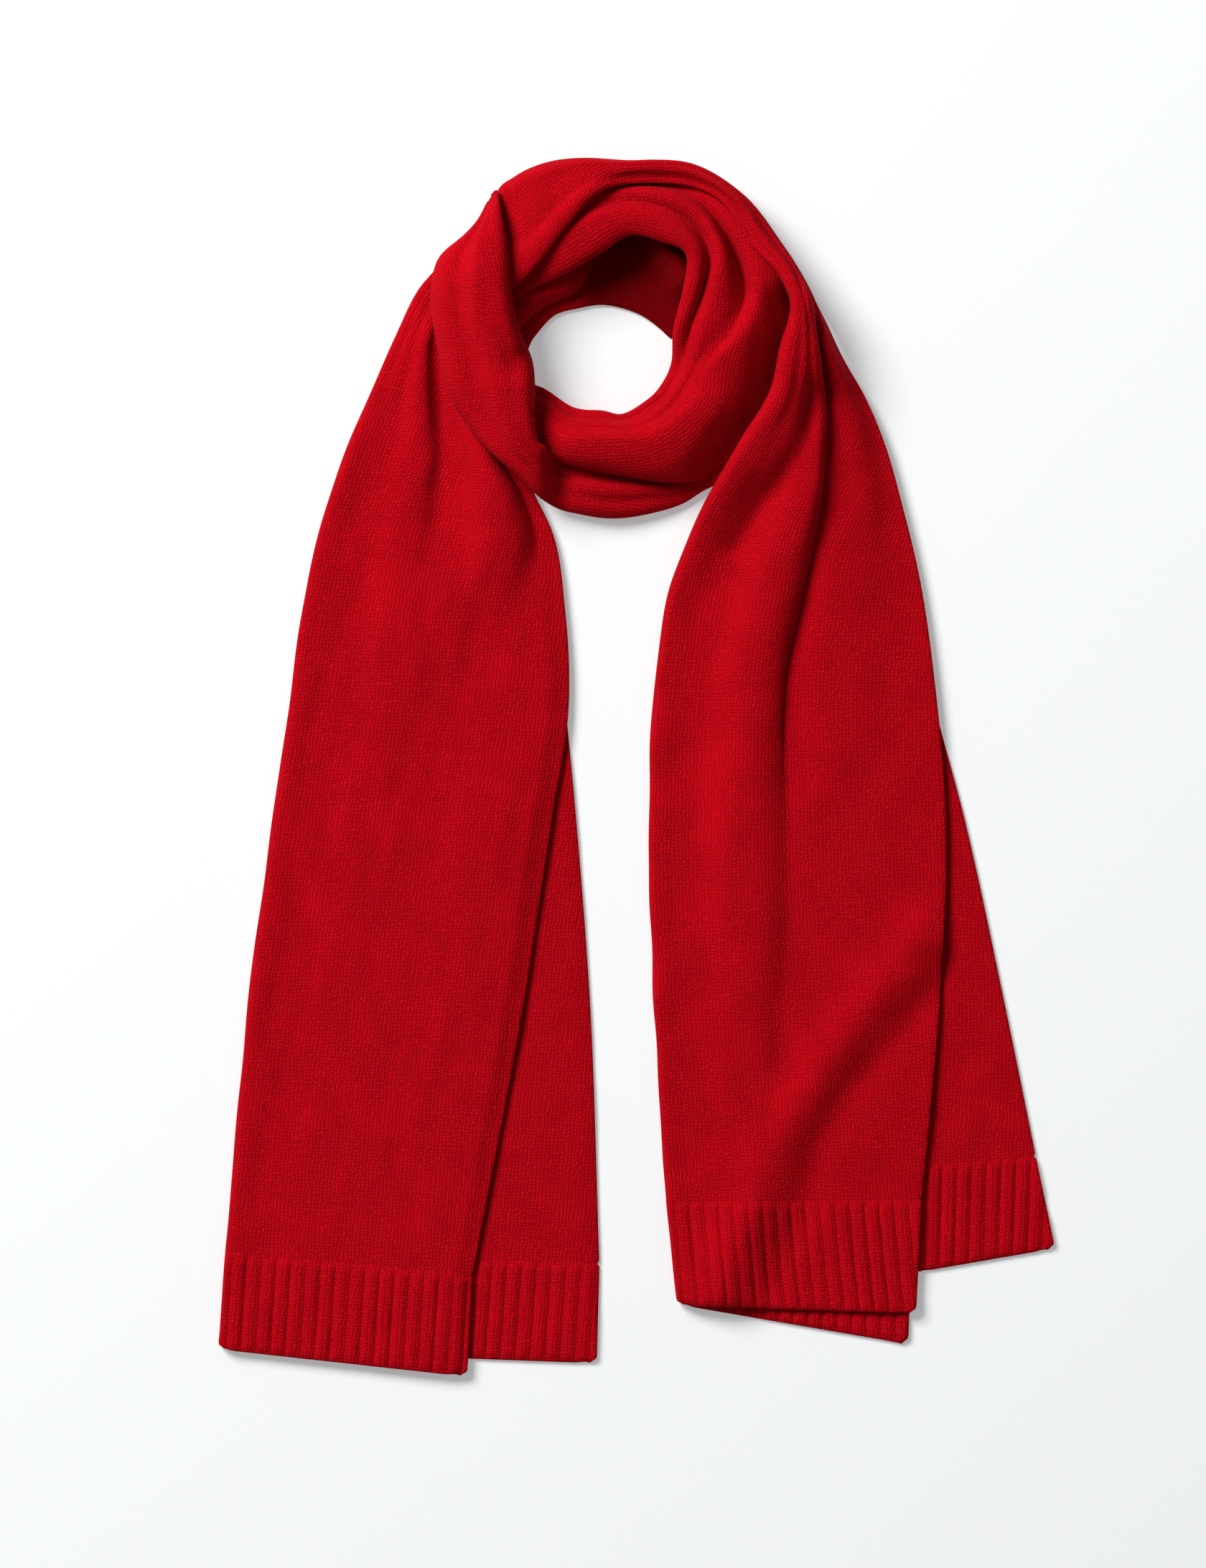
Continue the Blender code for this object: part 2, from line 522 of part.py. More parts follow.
def solid_object(name, top, collection, material):
    """Solid under a grid of top points, with a flat bottom on the table."""
    rows, columns = len(top), len(top[0])
    verts = [point for line in top for point in line]
    edge = [(0, c) for c in range(columns)]
    edge += [(r, columns - 1) for r in range(1, rows)]
    edge += [(rows - 1, c) for c in range(columns - 2, -1, -1)]
    edge += [(r, 0) for r in range(rows - 2, 0, -1)]
    first = len(verts)
    verts += [Vector((top[r][c].x, top[r][c].y, 0)) for r, c in edge]
    faces = []
    for r in range(rows - 1):
        for c in range(columns - 1):
            corner = r * columns + c
            faces.append((corner, corner + 1, corner + columns + 1, corner + columns))
    for k, (r, c) in enumerate(edge):
        after = (k + 1) % len(edge)
        next_r, next_c = edge[after]
        faces.append((next_r * columns + next_c, r * columns + c, first + k, first + after))
    faces.append(tuple(first + k for k in range(len(edge))))
    return to_object(name, verts, faces, collection, material)


def lay(name, stretch, below, collection, material, most=NO_LIMIT):
    """Loft a stretch, lay it on what is below and return its ray tree."""
    outer = loft(stretch)
    inner = inner_face(outer)
    lift_onto(outer, inner, below, most)
    return ray_tree(wall_object(name, outer, inner, collection, material))


def rib_columns(length):
    """Distances across a ribbed layer, and whether the cloth stands up there."""
    columns = []
    for rib in range(int(length / RIB_REPEAT) + 1):
        for share, raised in RIB_PROFILE:
            distance = (rib + share) * RIB_REPEAT
            if 0.6 < distance < length - 0.6:
                columns.append((distance, raised))
    return [(0.0, 0)] + columns + [(length, 0)]


def point_along(points, lengths, distance):
    """Point at a distance along a line of points."""
    k = 0
    while k < len(lengths) - 2 and distance > lengths[k + 1]:
        k += 1
    share = (distance - lengths[k]) / (lengths[k + 1] - lengths[k])
    return points[k].lerp(points[k + 1], share)


def running_lengths(points):
    lengths = [0.0]
    for before, after in zip(points, points[1:]):
        lengths.append(lengths[-1] + (after - before).length)
    return lengths


def ribbed_part(grid, rises, columns):
    """Points of a grid's rows at the rib columns, with the rise that each one has."""
    points, raised = [], []
    widest = running_lengths(grid[-1])[-1]
    for line, rise in zip(grid, rises):
        lengths = running_lengths(line)
        fit = lengths[-1] / widest
        points.append([point_along(line, lengths, distance * fit) for distance, _ in columns])
        raised.append([rise * up for _, up in columns])
    return points, raised


def lay_welt(name, stretch, hairpin, collection, material):
    """Ribbed welt: ribs on the upper side of the front, and of the layer folded under it."""
    grid = loft(stretch)
    rises = [0.0] + [RIB_RISE] * (len(stretch.rows) - 1)
    fold = sum(stretch.steps[:3]) if hairpin else 0
    front = [line[fold:] for line in grid]
    columns = rib_columns(running_lengths(front[-1])[-1])
    outer, outer_rise = ribbed_part(front, rises, columns)
    inner_rise = [[0.0] * len(line) for line in outer]
    if hairpin:
        back = [line[:stretch.steps[0] + 1] for line in grid]
        turn = [line[stretch.steps[0] + 1:fold] for line in grid]
        columns = rib_columns(running_lengths(back[-1])[-1])
        back, back_rise = ribbed_part(back, rises, columns)
        flat = [[0.0] * len(line) for line in turn]
        inner_rise = [a + b + c for a, b, c in zip(back_rise, flat, inner_rise)]
        outer_rise = [[0.0] * len(a) + b + c for a, b, c in zip(back_rise, flat, outer_rise)]
        outer = [a + b + c for a, b, c in zip(back, turn, outer)]
    inner = inner_face(outer)
    for face, rise in ((outer, outer_rise), (inner, inner_rise)):
        for points, line in zip(face, rise):
            for point, up in zip(points, line):
                point.z += up
    wall_object(name, outer, inner, collection, material)


def ray_tree(piece):
    """Tree for rays against a piece, in millimetres."""
    verts = [vert.co / MM for vert in piece.data.vertices]
    faces = [tuple(polygon.vertices) for polygon in piece.data.polygons]
    return BVHTree.FromPolygons(verts, faces)


def knit_material(name, colour):
    material = bpy.data.materials.new(name)
    material.use_nodes = True
    shader = material.node_tree.nodes["Principled BSDF"]
    shader.inputs["Base Color"].default_value = colour
    shader.inputs["Roughness"].default_value = 0.9
    shader.inputs["Metallic"].default_value = 0.0
    return material


def main():
    for old in list(bpy.data.objects):
        bpy.data.objects.remove(old, do_unlink=True)
    scarf = bpy.data.collections.new("knit_scarf")
    bpy.context.scene.collection.children.link(scarf)
    body = knit_material("knit_body", YARN_RED)
    welt = knit_material("knit_welt", YARN_RED)

    hidden = ray_tree(solid_object("hidden_layers", loft(HIDDEN_LAYERS), scarf, body))
    lay("right_tail_back", RIGHT_TAIL_BACK, [], scarf, body)
    left_tail = lay("left_tail", LEFT_TAIL, [], scarf, body)
    first = lay("first_wrap", FIRST_WRAP, [hidden], scarf, body)
    second = lay("second_wrap", SECOND_WRAP, [hidden, first], scarf, body)
    lay("left_turn", LEFT_TURN, [hidden, left_tail, second], scarf, body, TUCK)
    lay_welt("left_welt", LEFT_WELT, True, scarf, welt)
    lay_welt("right_welt", RIGHT_WELT, True, scarf, welt)
    lay_welt("right_back_welt", RIGHT_BACK_WELT, False, scarf, welt)


main()
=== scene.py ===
# %% [markdown]
# # A knit scarf, wound round its neck opening and laid flat
# The scarf is one strip of fine plain knit, 353 mm wide, with a ribbed welt at each end.
# Such a scarf could be made by dropping a simulated cloth on a table, but then nobody
# could say where a fold ends up. Here each stretch that shows is lofted from a short
# table of sections instead, so every fold stays where the table puts it.

# %% Open the frame
import math
from collections import namedtuple
import bpy
import numpy as np
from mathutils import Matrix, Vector
from mathutils.bvhtree import BVHTree


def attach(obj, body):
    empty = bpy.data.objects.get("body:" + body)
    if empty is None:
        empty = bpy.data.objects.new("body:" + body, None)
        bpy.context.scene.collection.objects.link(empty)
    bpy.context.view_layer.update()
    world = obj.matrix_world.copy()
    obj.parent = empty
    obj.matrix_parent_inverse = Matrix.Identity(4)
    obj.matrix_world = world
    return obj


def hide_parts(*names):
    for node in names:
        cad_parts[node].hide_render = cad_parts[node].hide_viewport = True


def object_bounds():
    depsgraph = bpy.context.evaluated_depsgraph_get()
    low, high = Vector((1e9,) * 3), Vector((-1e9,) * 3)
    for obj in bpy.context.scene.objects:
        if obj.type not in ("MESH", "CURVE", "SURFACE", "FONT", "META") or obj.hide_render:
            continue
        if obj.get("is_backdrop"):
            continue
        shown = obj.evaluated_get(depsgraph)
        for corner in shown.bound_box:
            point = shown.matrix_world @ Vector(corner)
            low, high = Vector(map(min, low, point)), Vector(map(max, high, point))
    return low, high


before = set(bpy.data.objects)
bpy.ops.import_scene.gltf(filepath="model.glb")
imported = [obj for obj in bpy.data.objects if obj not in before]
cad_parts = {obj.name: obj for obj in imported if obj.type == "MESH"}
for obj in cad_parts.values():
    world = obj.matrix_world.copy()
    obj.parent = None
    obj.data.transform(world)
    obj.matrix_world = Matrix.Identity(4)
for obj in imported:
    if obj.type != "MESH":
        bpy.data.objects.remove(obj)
cad_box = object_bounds()
print("solids of the scarf:", sorted(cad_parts))

# %% [markdown]
# ## How the cloth is written down
# A section is a line across the strip, from its start edge to its end edge as seen from
# above. Its folds are (share of the way across, height). A start or end with two heights
# is a rolled fold: the height where it is widest, then the height of its foot. A section
# can also say how far the layer under its start edge reaches.
# The steepness of a stretch says, point by point, how upright the cloth stands there: 0
# is level, as on a ridge, and 1 is upright, as in the side of a fold.
# A soft fold is a gentle ridge along a path, or a trough where its rise is less than
# nothing. The sections are in millimetres, and each mesh is turned into metres when it
# is made.

# %% Words for the cloth
MM = 0.001               # metres in a millimetre
WALL = 2.0               # thickness of the knit
Section = namedtuple("Section", "start end folds under", defaults=(None,))
SoftFold = namedtuple("SoftFold", "path half_width rise")
Stretch = namedtuple("Stretch", "sections steepness soft_folds", defaults=((),))


def flat_section(start, end):
    """Section of a single layer that lies flat on the table."""
    return Section(start + (WALL,), end + (WALL,), ((.5, WALL),))


def tell(name, stretch):
    """Print how many sections a stretch has and where it runs."""
    (x0, y0), (x1, y1) = stretch.sections[0].start[:2], stretch.sections[-1].start[:2]
    print(f"{name}: {len(stretch.sections)} sections, start edge from {x0}, {y0} to {x1}, {y1} mm")


# %% [markdown]
# ## Left tail
# The first end of the strip comes out from under the left turn and runs down to its
# welt. It is folded in two lengthwise: the fold is its left edge, and the other half
# lies underneath. A Simple Deform modifier could bend a grid double, but the creases of
# laid cloth run at slants of their own, so each section says where they are.

# %% Left tail, from under the left turn to its welt
LEFT_TAIL = Stretch(
    sections=[
        Section((-112.6, 277.4, 2.8, 0), (-98.2, 266.4, 5.6),
                ((.2, 5.6), (.35, 5.6), (.5, 5.6), (.65, 5.6), (.78, 5.6), (.9, 5.6)), (-102.0, 269.4)),
        Section((-120.2, 268.2, 2.8, 0), (-97.4, 254.4, 5.6),
                ((.12, 6), (.28, 6.5), (.45, 7), (.65, 6.5), (.78, 6), (.9, 6)), (-103.0, 257.8)),
        Section((-134.2, 241.4, 2.8, 0), (-94.2, 231.4, 6.0),
                ((.09, 6.5), (.24, 8), (.42, 10), (.56, 6.5), (.72, 8), (.88, 7)), (-102.0, 233.4)),
        Section((-147.8, 210.6, 2.8, 0), (-85.4, 203.4, 6.0),
                ((.06, 7), (.24, 7.5), (.46, 12), (.61, 6), (.78, 11), (.9, 7)), (-96.0, 204.6)),
        Section((-160.6, 180.2, 2.8, 0), (-65.4, 171.4, 6.0),
                ((.045, 7), (.19, 6.6), (.44, 10.5), (.59, 6), (.79, 16.5), (.89, 4.8)), (-76.0, 172.4)),
        Section((-168.6, 157.4, 2.8, 0), (-57.4, 152.4, 5.0),
                ((.04, 6.8), (.18, 6.2), (.41, 9.5), (.56, 6), (.835, 18.5), (.94, 4.2)), (-66.0, 152.8)),
        Section((-175.8, 136.2, 2.8, 0), (-48.2, 133.4, 4.4),
                ((.03, 6.6), (.17, 5.8), (.38, 9), (.53, 6), (.8, 16), (.93, 5)), (-56.0, 133.6)),
        Section((-186.2, 89.4, 2.8, 0), (-40.2, 87.4, 4.8),
                ((.03, 6.6), (.16, 5.8), (.4, 10.6), (.52, 10.4), (.72, 8.8), (.9, 6.8)), (-45.0, 87.5)),
        Section((-193.4, 35.4, 2.8, 0), (-38.2, 33.4, 5.4),
                ((.03, 6.6), (.12, 5.6), (.4, 8.6), (.55, 8), (.76, 9.4), (.93, 8.4)), (-40.0, 33.4)),
        Section((-203.0, -28.6, 2.8, 0), (-47.4, -28.6, 5.6),
                ((.03, 6.5), (.13, 5.6), (.38, 7.8), (.52, 7.4), (.8, 10), (.93, 9)), (-34.2, -28.6)),
        Section((-216.2, -128.6, 2.8, 0), (-62.6, -128.6, 5.4),
                ((.03, 6.4), (.13, 5.6), (.34, 7), (.5, 7.2), (.8, 8.8), (.93, 8.4)), (-26.6, -128.6)),
        Section((-229.4, -271.4, 2.8, 0), (-91.8, -283.8, 5.4),
                ((.03, 6.2), (.13, 5.6), (.34, 6.4), (.5, 6.6), (.8, 7.6), (.93, 7.4)), (-21.2, -277.6)),
    ],
    steepness=(0, 0, 1, 0, 0, 0, 0, 0, .7, .5),
    soft_folds=[
        SoftFold(((-110.6, 231.4), (-109.6, 211.4), (-109.4, 189), (-110, 160), (-110, 140)), 6, -1.6),
    ],
)
tell("left tail", LEFT_TAIL)

# %% [markdown]
# ## First wrap
# Behind the neck the strip is gathered into thick folds, which run on down the right
# side and along the bottom to the left. Each fold could be a tube of its own, but tubes
# part where one fold runs into the next. A single table keeps it one cloth.

# %% First wrap
FIRST_WRAP = Stretch(
    sections=[
        Section((-75.4, 253.4, 13, 9), (-85.4, 281.4, 11, 8),
                ((.2, 16), (.35, 15), (.5, 15), (.65, 15), (.8, 14))),
        Section((-64.6, 262.2, 15, 11), (-75.0, 290.6, 11, 7),
                ((.2, 18), (.35, 17.5), (.5, 17), (.65, 16), (.8, 15))),
        Section((-40.6, 273.8, 20, 15), (-60.2, 312.2, 9, 3),
                ((.32, 27), (.58, 22), (.7, 21.5), (.8, 20.5), (.9, 17))),
        Section((-16.2, 288.2, 25, 19), (-32.4, 328.8, 8, 0),
                ((.36, 33), (.56, 29), (.66, 28), (.78, 26), (.9, 20))),
        Section((-2.2, 295.8, 28, 22), (5.6, 329.2, 8, 0),
                ((.28, 34), (.56, 29.5), (.72, 31), (.84, 26), (.92, 20))),
        Section((14.6, 291.8, 29, 23), (39.0, 323.0, 9, 0),
                ((.22, 35), (.47, 28), (.64, 33), (.78, 27.5), (.88, 26))),
        Section((28.6, 282.6, 29, 23), (74.6, 289.4, 12, 2),
                ((.11, 35), (.26, 27), (.4, 34), (.56, 21), (.78, 30.5))),
        Section((25.8, 264.2, 26, 19), (90.0, 266.4, 10, 2),
                ((.1, 33), (.18, 25.5), (.28, 33.5), (.54, 21.5), (.7, 34))),
        Section((20.6, 244.6, 18, 9), (91.0, 243.4, 9, 1),
                ((.07, 25), (.14, 21.5), (.27, 30.5), (.48, 28), (.62, 33))),
        Section((19.8, 225.4, 9, 1), (84.0, 219.4, 8, 0),
                ((.055, 14), (.1, 16), (.2, 24), (.27, 27), (.38, 30))),
        Section((13.8, 212.2, 8, 0), (70.8, 194.4, 7, 0.6),
                ((.06, 14), (.11, 17), (.18, 22), (.27, 26), (.42, 29))),
        Section((3.8, 203.4, 8, 0), (44.8, 162.4, 11.4, 6.6),
                ((.06, 14), (.12, 18), (.18, 22.5), (.25, 26.5), (.35, 29))),
        Section((-6.2, 198.2, 8, 0), (22.8, 158.8, 12.5, 7.8),
                ((.07, 14), (.13, 18.5), (.2, 23), (.28, 26.5), (.4, 29))),
        Section((-18.2, 199.0, 8, 0), (-14.2, 163.6, 13, 8),
                ((.09, 14), (.17, 18.5), (.26, 22.5), (.36, 26), (.48, 28.5))),
        Section((-35.4, 201.0, 8, 0), (-39.4, 169.0, 11, 5),
                ((.09, 14), (.18, 18), (.28, 21), (.38, 24), (.52, 25.5))),
        Section((-52.2, 212.2, 6, 0), (-54.2, 175.4, 7, 0),
                ((.09, 10), (.18, 13), (.28, 16), (.4, 18), (.58, 19))),
        Section((-65.4, 215.4, 5, 0), (-69.4, 182.6, 6, 0),
                ((.1, 8), (.2, 11), (.3, 13), (.42, 14), (.6, 14))),
    ],
    steepness=(0, 0, 1, 0, .6, 0, .6, 0, 1, 0, 0),
    soft_folds=[SoftFold(((84, 255), (82, 240), (75, 217), (64, 196), (52, 177), (44, 163)), 13, -10)],
)
tell("first wrap", FIRST_WRAP)

# %% [markdown]
# ## Left turn
# The lower fold of the bottom turns up over the left side and ends in a narrow peak. A
# curve with a bevel would make the bend, but with one section all along. This fold
# starts as a flat band and becomes a high roll, so its sections fan out round the bend.

# %% Left turn
LEFT_TURN = Stretch(
    sections=[
        Section((50.4, 168.4, 2.7, 0), (49.4, 159.6, 2.7, 0), ((.3, 5.2), (.5, 5.2), (.7, 5.2))),
        Section((39.4, 167.4, 2.7, 0), (38.4, 154.6, 2.7, 0), ((.3, 5.4), (.5, 5.4), (.7, 5.4))),
        Section((24.6, 164.4, 3, 0), (26.8, 147.4, 3, 0), ((.22, 6.2), (.5, 6.6), (.78, 5.6))),
        Section((8.0, 165.4, 3.2, 0), (11.0, 142.2, 4, 0), ((.18, 6.4), (.45, 10.5), (.75, 8.5))),
        Section((-14.2, 168.4, 3.2, 0), (-14.2, 138.8, 5, 0), ((.16, 6.6), (.45, 14), (.75, 11.5))),
        Section((-31.0, 171.2, 4, 0), (-32.4, 141.4, 6, 0), ((.2, 8.5), (.48, 14.5), (.75, 13))),
        Section((-41.4, 172.8, 5, 0), (-43.6, 144.4, 7, 1), ((.25, 9.5), (.5, 13), (.75, 12.5))),
        Section((-48.0, 176.2, 15, 8), (-54.0, 150.8, 12, 6), ((.3, 25), (.52, 27), (.76, 24))),
        Section((-50.0, 178.6, 22, 15), (-66.0, 162.4, 16, 10), ((.25, 31), (.5, 32), (.75, 28.5))),
        Section((-53.4, 181.0, 25, 19), (-77.4, 172.0, 17, 11), ((.2, 33), (.45, 34), (.74, 29.5))),
        Section((-56.2, 195.4, 27, 20), (-92.2, 188.6, 14, 8), ((.18, 36), (.42, 36), (.72, 28))),
        Section((-55.8, 210.6, 22, 12), (-104.6, 208.2, 14, 8), ((.18, 36), (.42, 36.5), (.73, 29))),
        Section((-57.8, 227.4, 15, 7), (-109.8, 229.4, 13, 8), ((.17, 34.5), (.42, 37.5), (.74, 30))),
        Section((-65.4, 245.4, 21, 14), (-113.8, 251.4, 12, 7), ((.19, 38.5), (.42, 38.5), (.73, 30))),
        Section((-69.4, 267.4, 28, 22), (-114.2, 266.6, 12, 6), ((.2, 40), (.4, 40), (.71, 30))),
        Section((-71.0, 287.4, 32, 26), (-109.4, 285.0, 11, 4), ((.2, 40), (.42, 40), (.71, 29))),
        Section((-73.4, 302.4, 32, 27.6), (-95.0, 297.6, 14, 9.6), ((.22, 37), (.5, 36), (.76, 28))),
        Section((-75.2, 312.6, 29.4, 26), (-88.0, 305.4, 17, 13.4), ((.25, 33), (.5, 32), (.76, 26))),
        Section((-76.6, 320.6, 24.4, 21), (-83.4, 314.2, 16, 12.6), ((.28, 27), (.5, 26), (.72, 22))),
    ],
    steepness=(0, 0, 1, 0, 0, 0, 1, 0, 0),
    soft_folds=[
        SoftFold(((-44, 223), (-54, 226), (-62, 228)), 6, -3.5),
        SoftFold(((-50, 208), (-70, 213)), 7, 1.5),
    ],
)
tell("left turn", LEFT_TURN)

# %% [markdown]
# ## Second wrap and right tail
# The strip goes over the top, down the right side and on as the front of the second end.
# It could be two pieces that meet under a fold, but the cloth runs on in the open, so
# one table carries it all the way. Round the top its outer edge is turned down to the
# cloth below, which the last folds of each section do. The long folds of the tail cross
# the strip at a slant, so they are soft folds on paths of their own.

# %% Second wrap and right tail
RIGHT_TAIL_FOLDS = (
    SoftFold(((157, -97), (149, -112.6), (131.8, -132.6), (117, -152.6), (101.8, -172.6), (89, -192.6),
              (77.8, -212.6), (69.8, -232.6), (63.8, -252.6), (55.8, -268.6), (48, -292)), 15, 5.5),
    SoftFold(((178, -112.6), (159.8, -132.6), (145, -152.6), (125.8, -172.6), (111.8, -192.6),
              (101.8, -212.6), (95.8, -232.6), (91.8, -252.6), (85, -268.6), (79.8, -288.6)), 9, -1.6),
    SoftFold(((99, 207), (95.4, 191.4), (88, 175.4), (81, 161.4), (70.6, 147.4), (56.6, 123.4)), 7, -3.5),
)
SECOND_WRAP = Stretch(
    sections=[
        Section((-82.0, 262.2, 22, 18), (-83.6, 301.0),
                ((.35, 26), (.6, 22), (.84, 16), (1, 8), (.98, 5), (.94, 0))),
        Section((-72.0, 264.2, 22, 18), (-77.0, 321.6),
                ((.3, 27), (.6, 23), (.88, 22.5), (1, 9), (.99, 5), (.96, 0))),
        Section((-59.0, 274.2, 25, 20), (-68.0, 329.0),
                ((.2, 30.5), (.44, 28), (.86, 27), (1, 12), (.99, 6), (.96, 0))),
        Section((-38.2, 299.4, 28, 23), (-51.0, 337.0),
                ((.19, 34), (.42, 31.5), (.82, 31), (1, 13), (.985, 6), (.95, 0))),
        Section((-22.2, 317.8, 30, 25), (-31.6, 339.6),
                ((.19, 35.5), (.45, 34.5), (.78, 34), (1, 14), (.98, 7), (.93, 0))),
        Section((-2.2, 324.6, 28, 24.5), (-3.8, 338.2),
                ((.16, 29.5), (.66, 33.5), (.79, 33.5), (1, 16), (.97, 8), (.9, 0))),
        Section((9.0, 325.0, 27, 23.5), (9.6, 338.6),
                ((.16, 28.5), (.66, 32.5), (.79, 32.5), (1, 15), (.97, 8), (.9, 0))),
        Section((27.8, 323.6, 27, 23.5), (31.0, 336.4),
                ((.16, 28.5), (.64, 32.5), (.8, 30.5), (.98, 17), (.99, 10), (.97, 3))),
        Section((47.8, 315.0, 27.5, 24), (57.8, 321.8),
                ((.16, 29), (.58, 33.5), (.8, 28.5), (.95, 19), (.985, 12), (1, 5))),
        Section((65.0, 288.6, 29.4, 26), (81.8, 292.6),
                ((.18, 32), (.5, 35.5), (.8, 29), (.93, 20), (.98, 13), (1, 5))),
        Section((78.6, 274.2, 30.4, 27), (90.6, 279.0),
                ((.3, 37.5), (.5, 38.5), (.79, 32), (.92, 22), (.97, 15), (1, 6))),
        Section((85.8, 257.4, 29.4, 26), (100.4, 260.4),
                ((.3, 41), (.45, 41), (.6, 40), (.87, 26), (.95, 18), (1, 6))),
        Section((84.4, 247.4, 28, 24), (107.2, 247.0),
                ((.22, 41), (.4, 40.5), (.53, 38), (.7, 24), (.83, 25.5), (1, 6))),
        Section((81.0, 236.6, 27, 21), (113.8, 232.6),
                ((.18, 41), (.38, 39.5), (.52, 37), (.65, 22), (.79, 27), (1, 7))),
        Section((74.4, 209.4, 27, 19), (127.8, 206.4),
                ((.13, 38), (.3, 35), (.45, 29.5), (.595, 14.5), (.77, 17.5), (1, 8))),
        Section((56.2, 178.6, 25, 18), (138.8, 179.4),
                ((.1, 32.5), (.31, 30), (.535, 25), (.605, 14.5), (.77, 14.5), (1, 7))),
        Section((38.0, 147.4, 11, 4), (147.8, 147.4),
                ((.06, 21), (.26, 18), (.53, 22.5), (.597, 12), (.75, 12.5), (1, 6.5)), (52.0, 147.4)),
        Section((21.4, 107.4, 4, 0), (157.4, 107.4),
                ((.041, 10.5), (.188, 9), (.438, 19), (.547, 7), (.68, 10.5), (1, 6)), (80.0, 107.4)),
        Section((10.6, 47.4, 2.8, 0), (166.2, 47.4),
                ((.03, 7), (.129, 6), (.355, 15.5), (.468, 6), (.62, 8.4), (1, 6.2)), (118.0, 47.4)),
        Section((7.4, -32.6, 2.8, 0), (172.6, -32.6),
                ((.025, 6.4), (.112, 5.8), (.339, 13.5), (.47, 7), (.64, 7.6), (1, 6.2)), (146.0, -32.6)),
        Section((10.2, -132.6, 2.8, 0), (169.0, -132.6),
                ((.025, 6.4), (.098, 5.8), (.345, 10.5), (.466, 7), (.64, 7), (1, 6.2)), (157.0, -132.6)),
        Section((17.0, -242.6, 2.8, 0), (159.0, -241.6),
                ((.03, 6.2), (.12, 5.8), (.28, 6.6), (.42, 6), (.6, 5.8), (1, 6)), (153.6, -241.6)),
    ],
    steepness=(0, 0, 1, 0, 0, 0, 1, 0, .3),
    soft_folds=RIGHT_TAIL_FOLDS,
)
tell("second wrap and right tail", SECOND_WRAP)

# %% [markdown]
# ## Back of the right tail, and the welts
# The other half of the right tail shows as a narrow wedge beside the front, and a plane
# would almost do. A welt goes on from the last section of its tail, in the same folds,
# and could be one piece with it. It is a piece of its own because its ribs need finer
# cells and another finish than the plain knit.

# %% Back of the right tail
RIGHT_TAIL_BACK = Stretch(
    sections=[
        flat_section((127.8, 150.4), (143.0, 150.4)),
        flat_section((149.0, 47.4), (163.0, 47.4)),
        flat_section((154.8, -32.6), (183.8, -32.6)),
        flat_section((160.4, -132.6), (205.4, -132.6)),
        flat_section((157.2, -223.0), (222.8, -217.6)),
    ],
    steepness=(0, 0, 0),
)
tell("back of the right tail", RIGHT_TAIL_BACK)

# %% Welts
LEFT_WELT = Stretch(
    sections=[
        LEFT_TAIL.sections[-1],
        Section((-233.4, -324.2, 2.8, 0), (-95.0, -339.4, 5.2),
                ((.03, 5.8), (.13, 5.6), (.34, 5.8), (.5, 6), (.8, 6.4), (.93, 6.4)), (-22.6, -332.2)),
    ],
    steepness=(0, 0, 1, 0, 0, 0, 0, 0, 0, .5),
)
RIGHT_WELT = Stretch(
    sections=[
        Section((17.0, -242.6, 2.8, 0), (159.0, -241.6, 6.0),
                ((.03, 6.2), (.12, 5.8), (.28, 6.6), (.42, 6), (.6, 5.8)), (153.6, -241.6)),
        Section((23.0, -299.8, 3.2, 0), (155.8, -304.2, 5.8),
                ((.035, 6.8), (.12, 7.2), (.28, 6.8), (.42, 6), (.6, 5.8)), (151.6, -321.4)),
    ],
    steepness=(0, 0, 1, 0, 0, 0, 0, 0, .3),
    soft_folds=RIGHT_TAIL_FOLDS,
)
RIGHT_BACK_WELT = Stretch(
    sections=[RIGHT_TAIL_BACK.sections[-1], flat_section((155.8, -281.6), (233.4, -268.2))],
    steepness=(0, 0, 0),
)
tell("left welt", LEFT_WELT)
tell("right welt", RIGHT_WELT)
tell("back welt of the right tail", RIGHT_BACK_WELT)

# %% [markdown]
# ## Hidden layers
# Inside the neck opening, more of the strip shows a little under the wraps. Nobody can
# follow its folds there. A plain ring would fill the place, but its edge would look
# turned, so one cloth with a wandering edge stands for all of these layers.

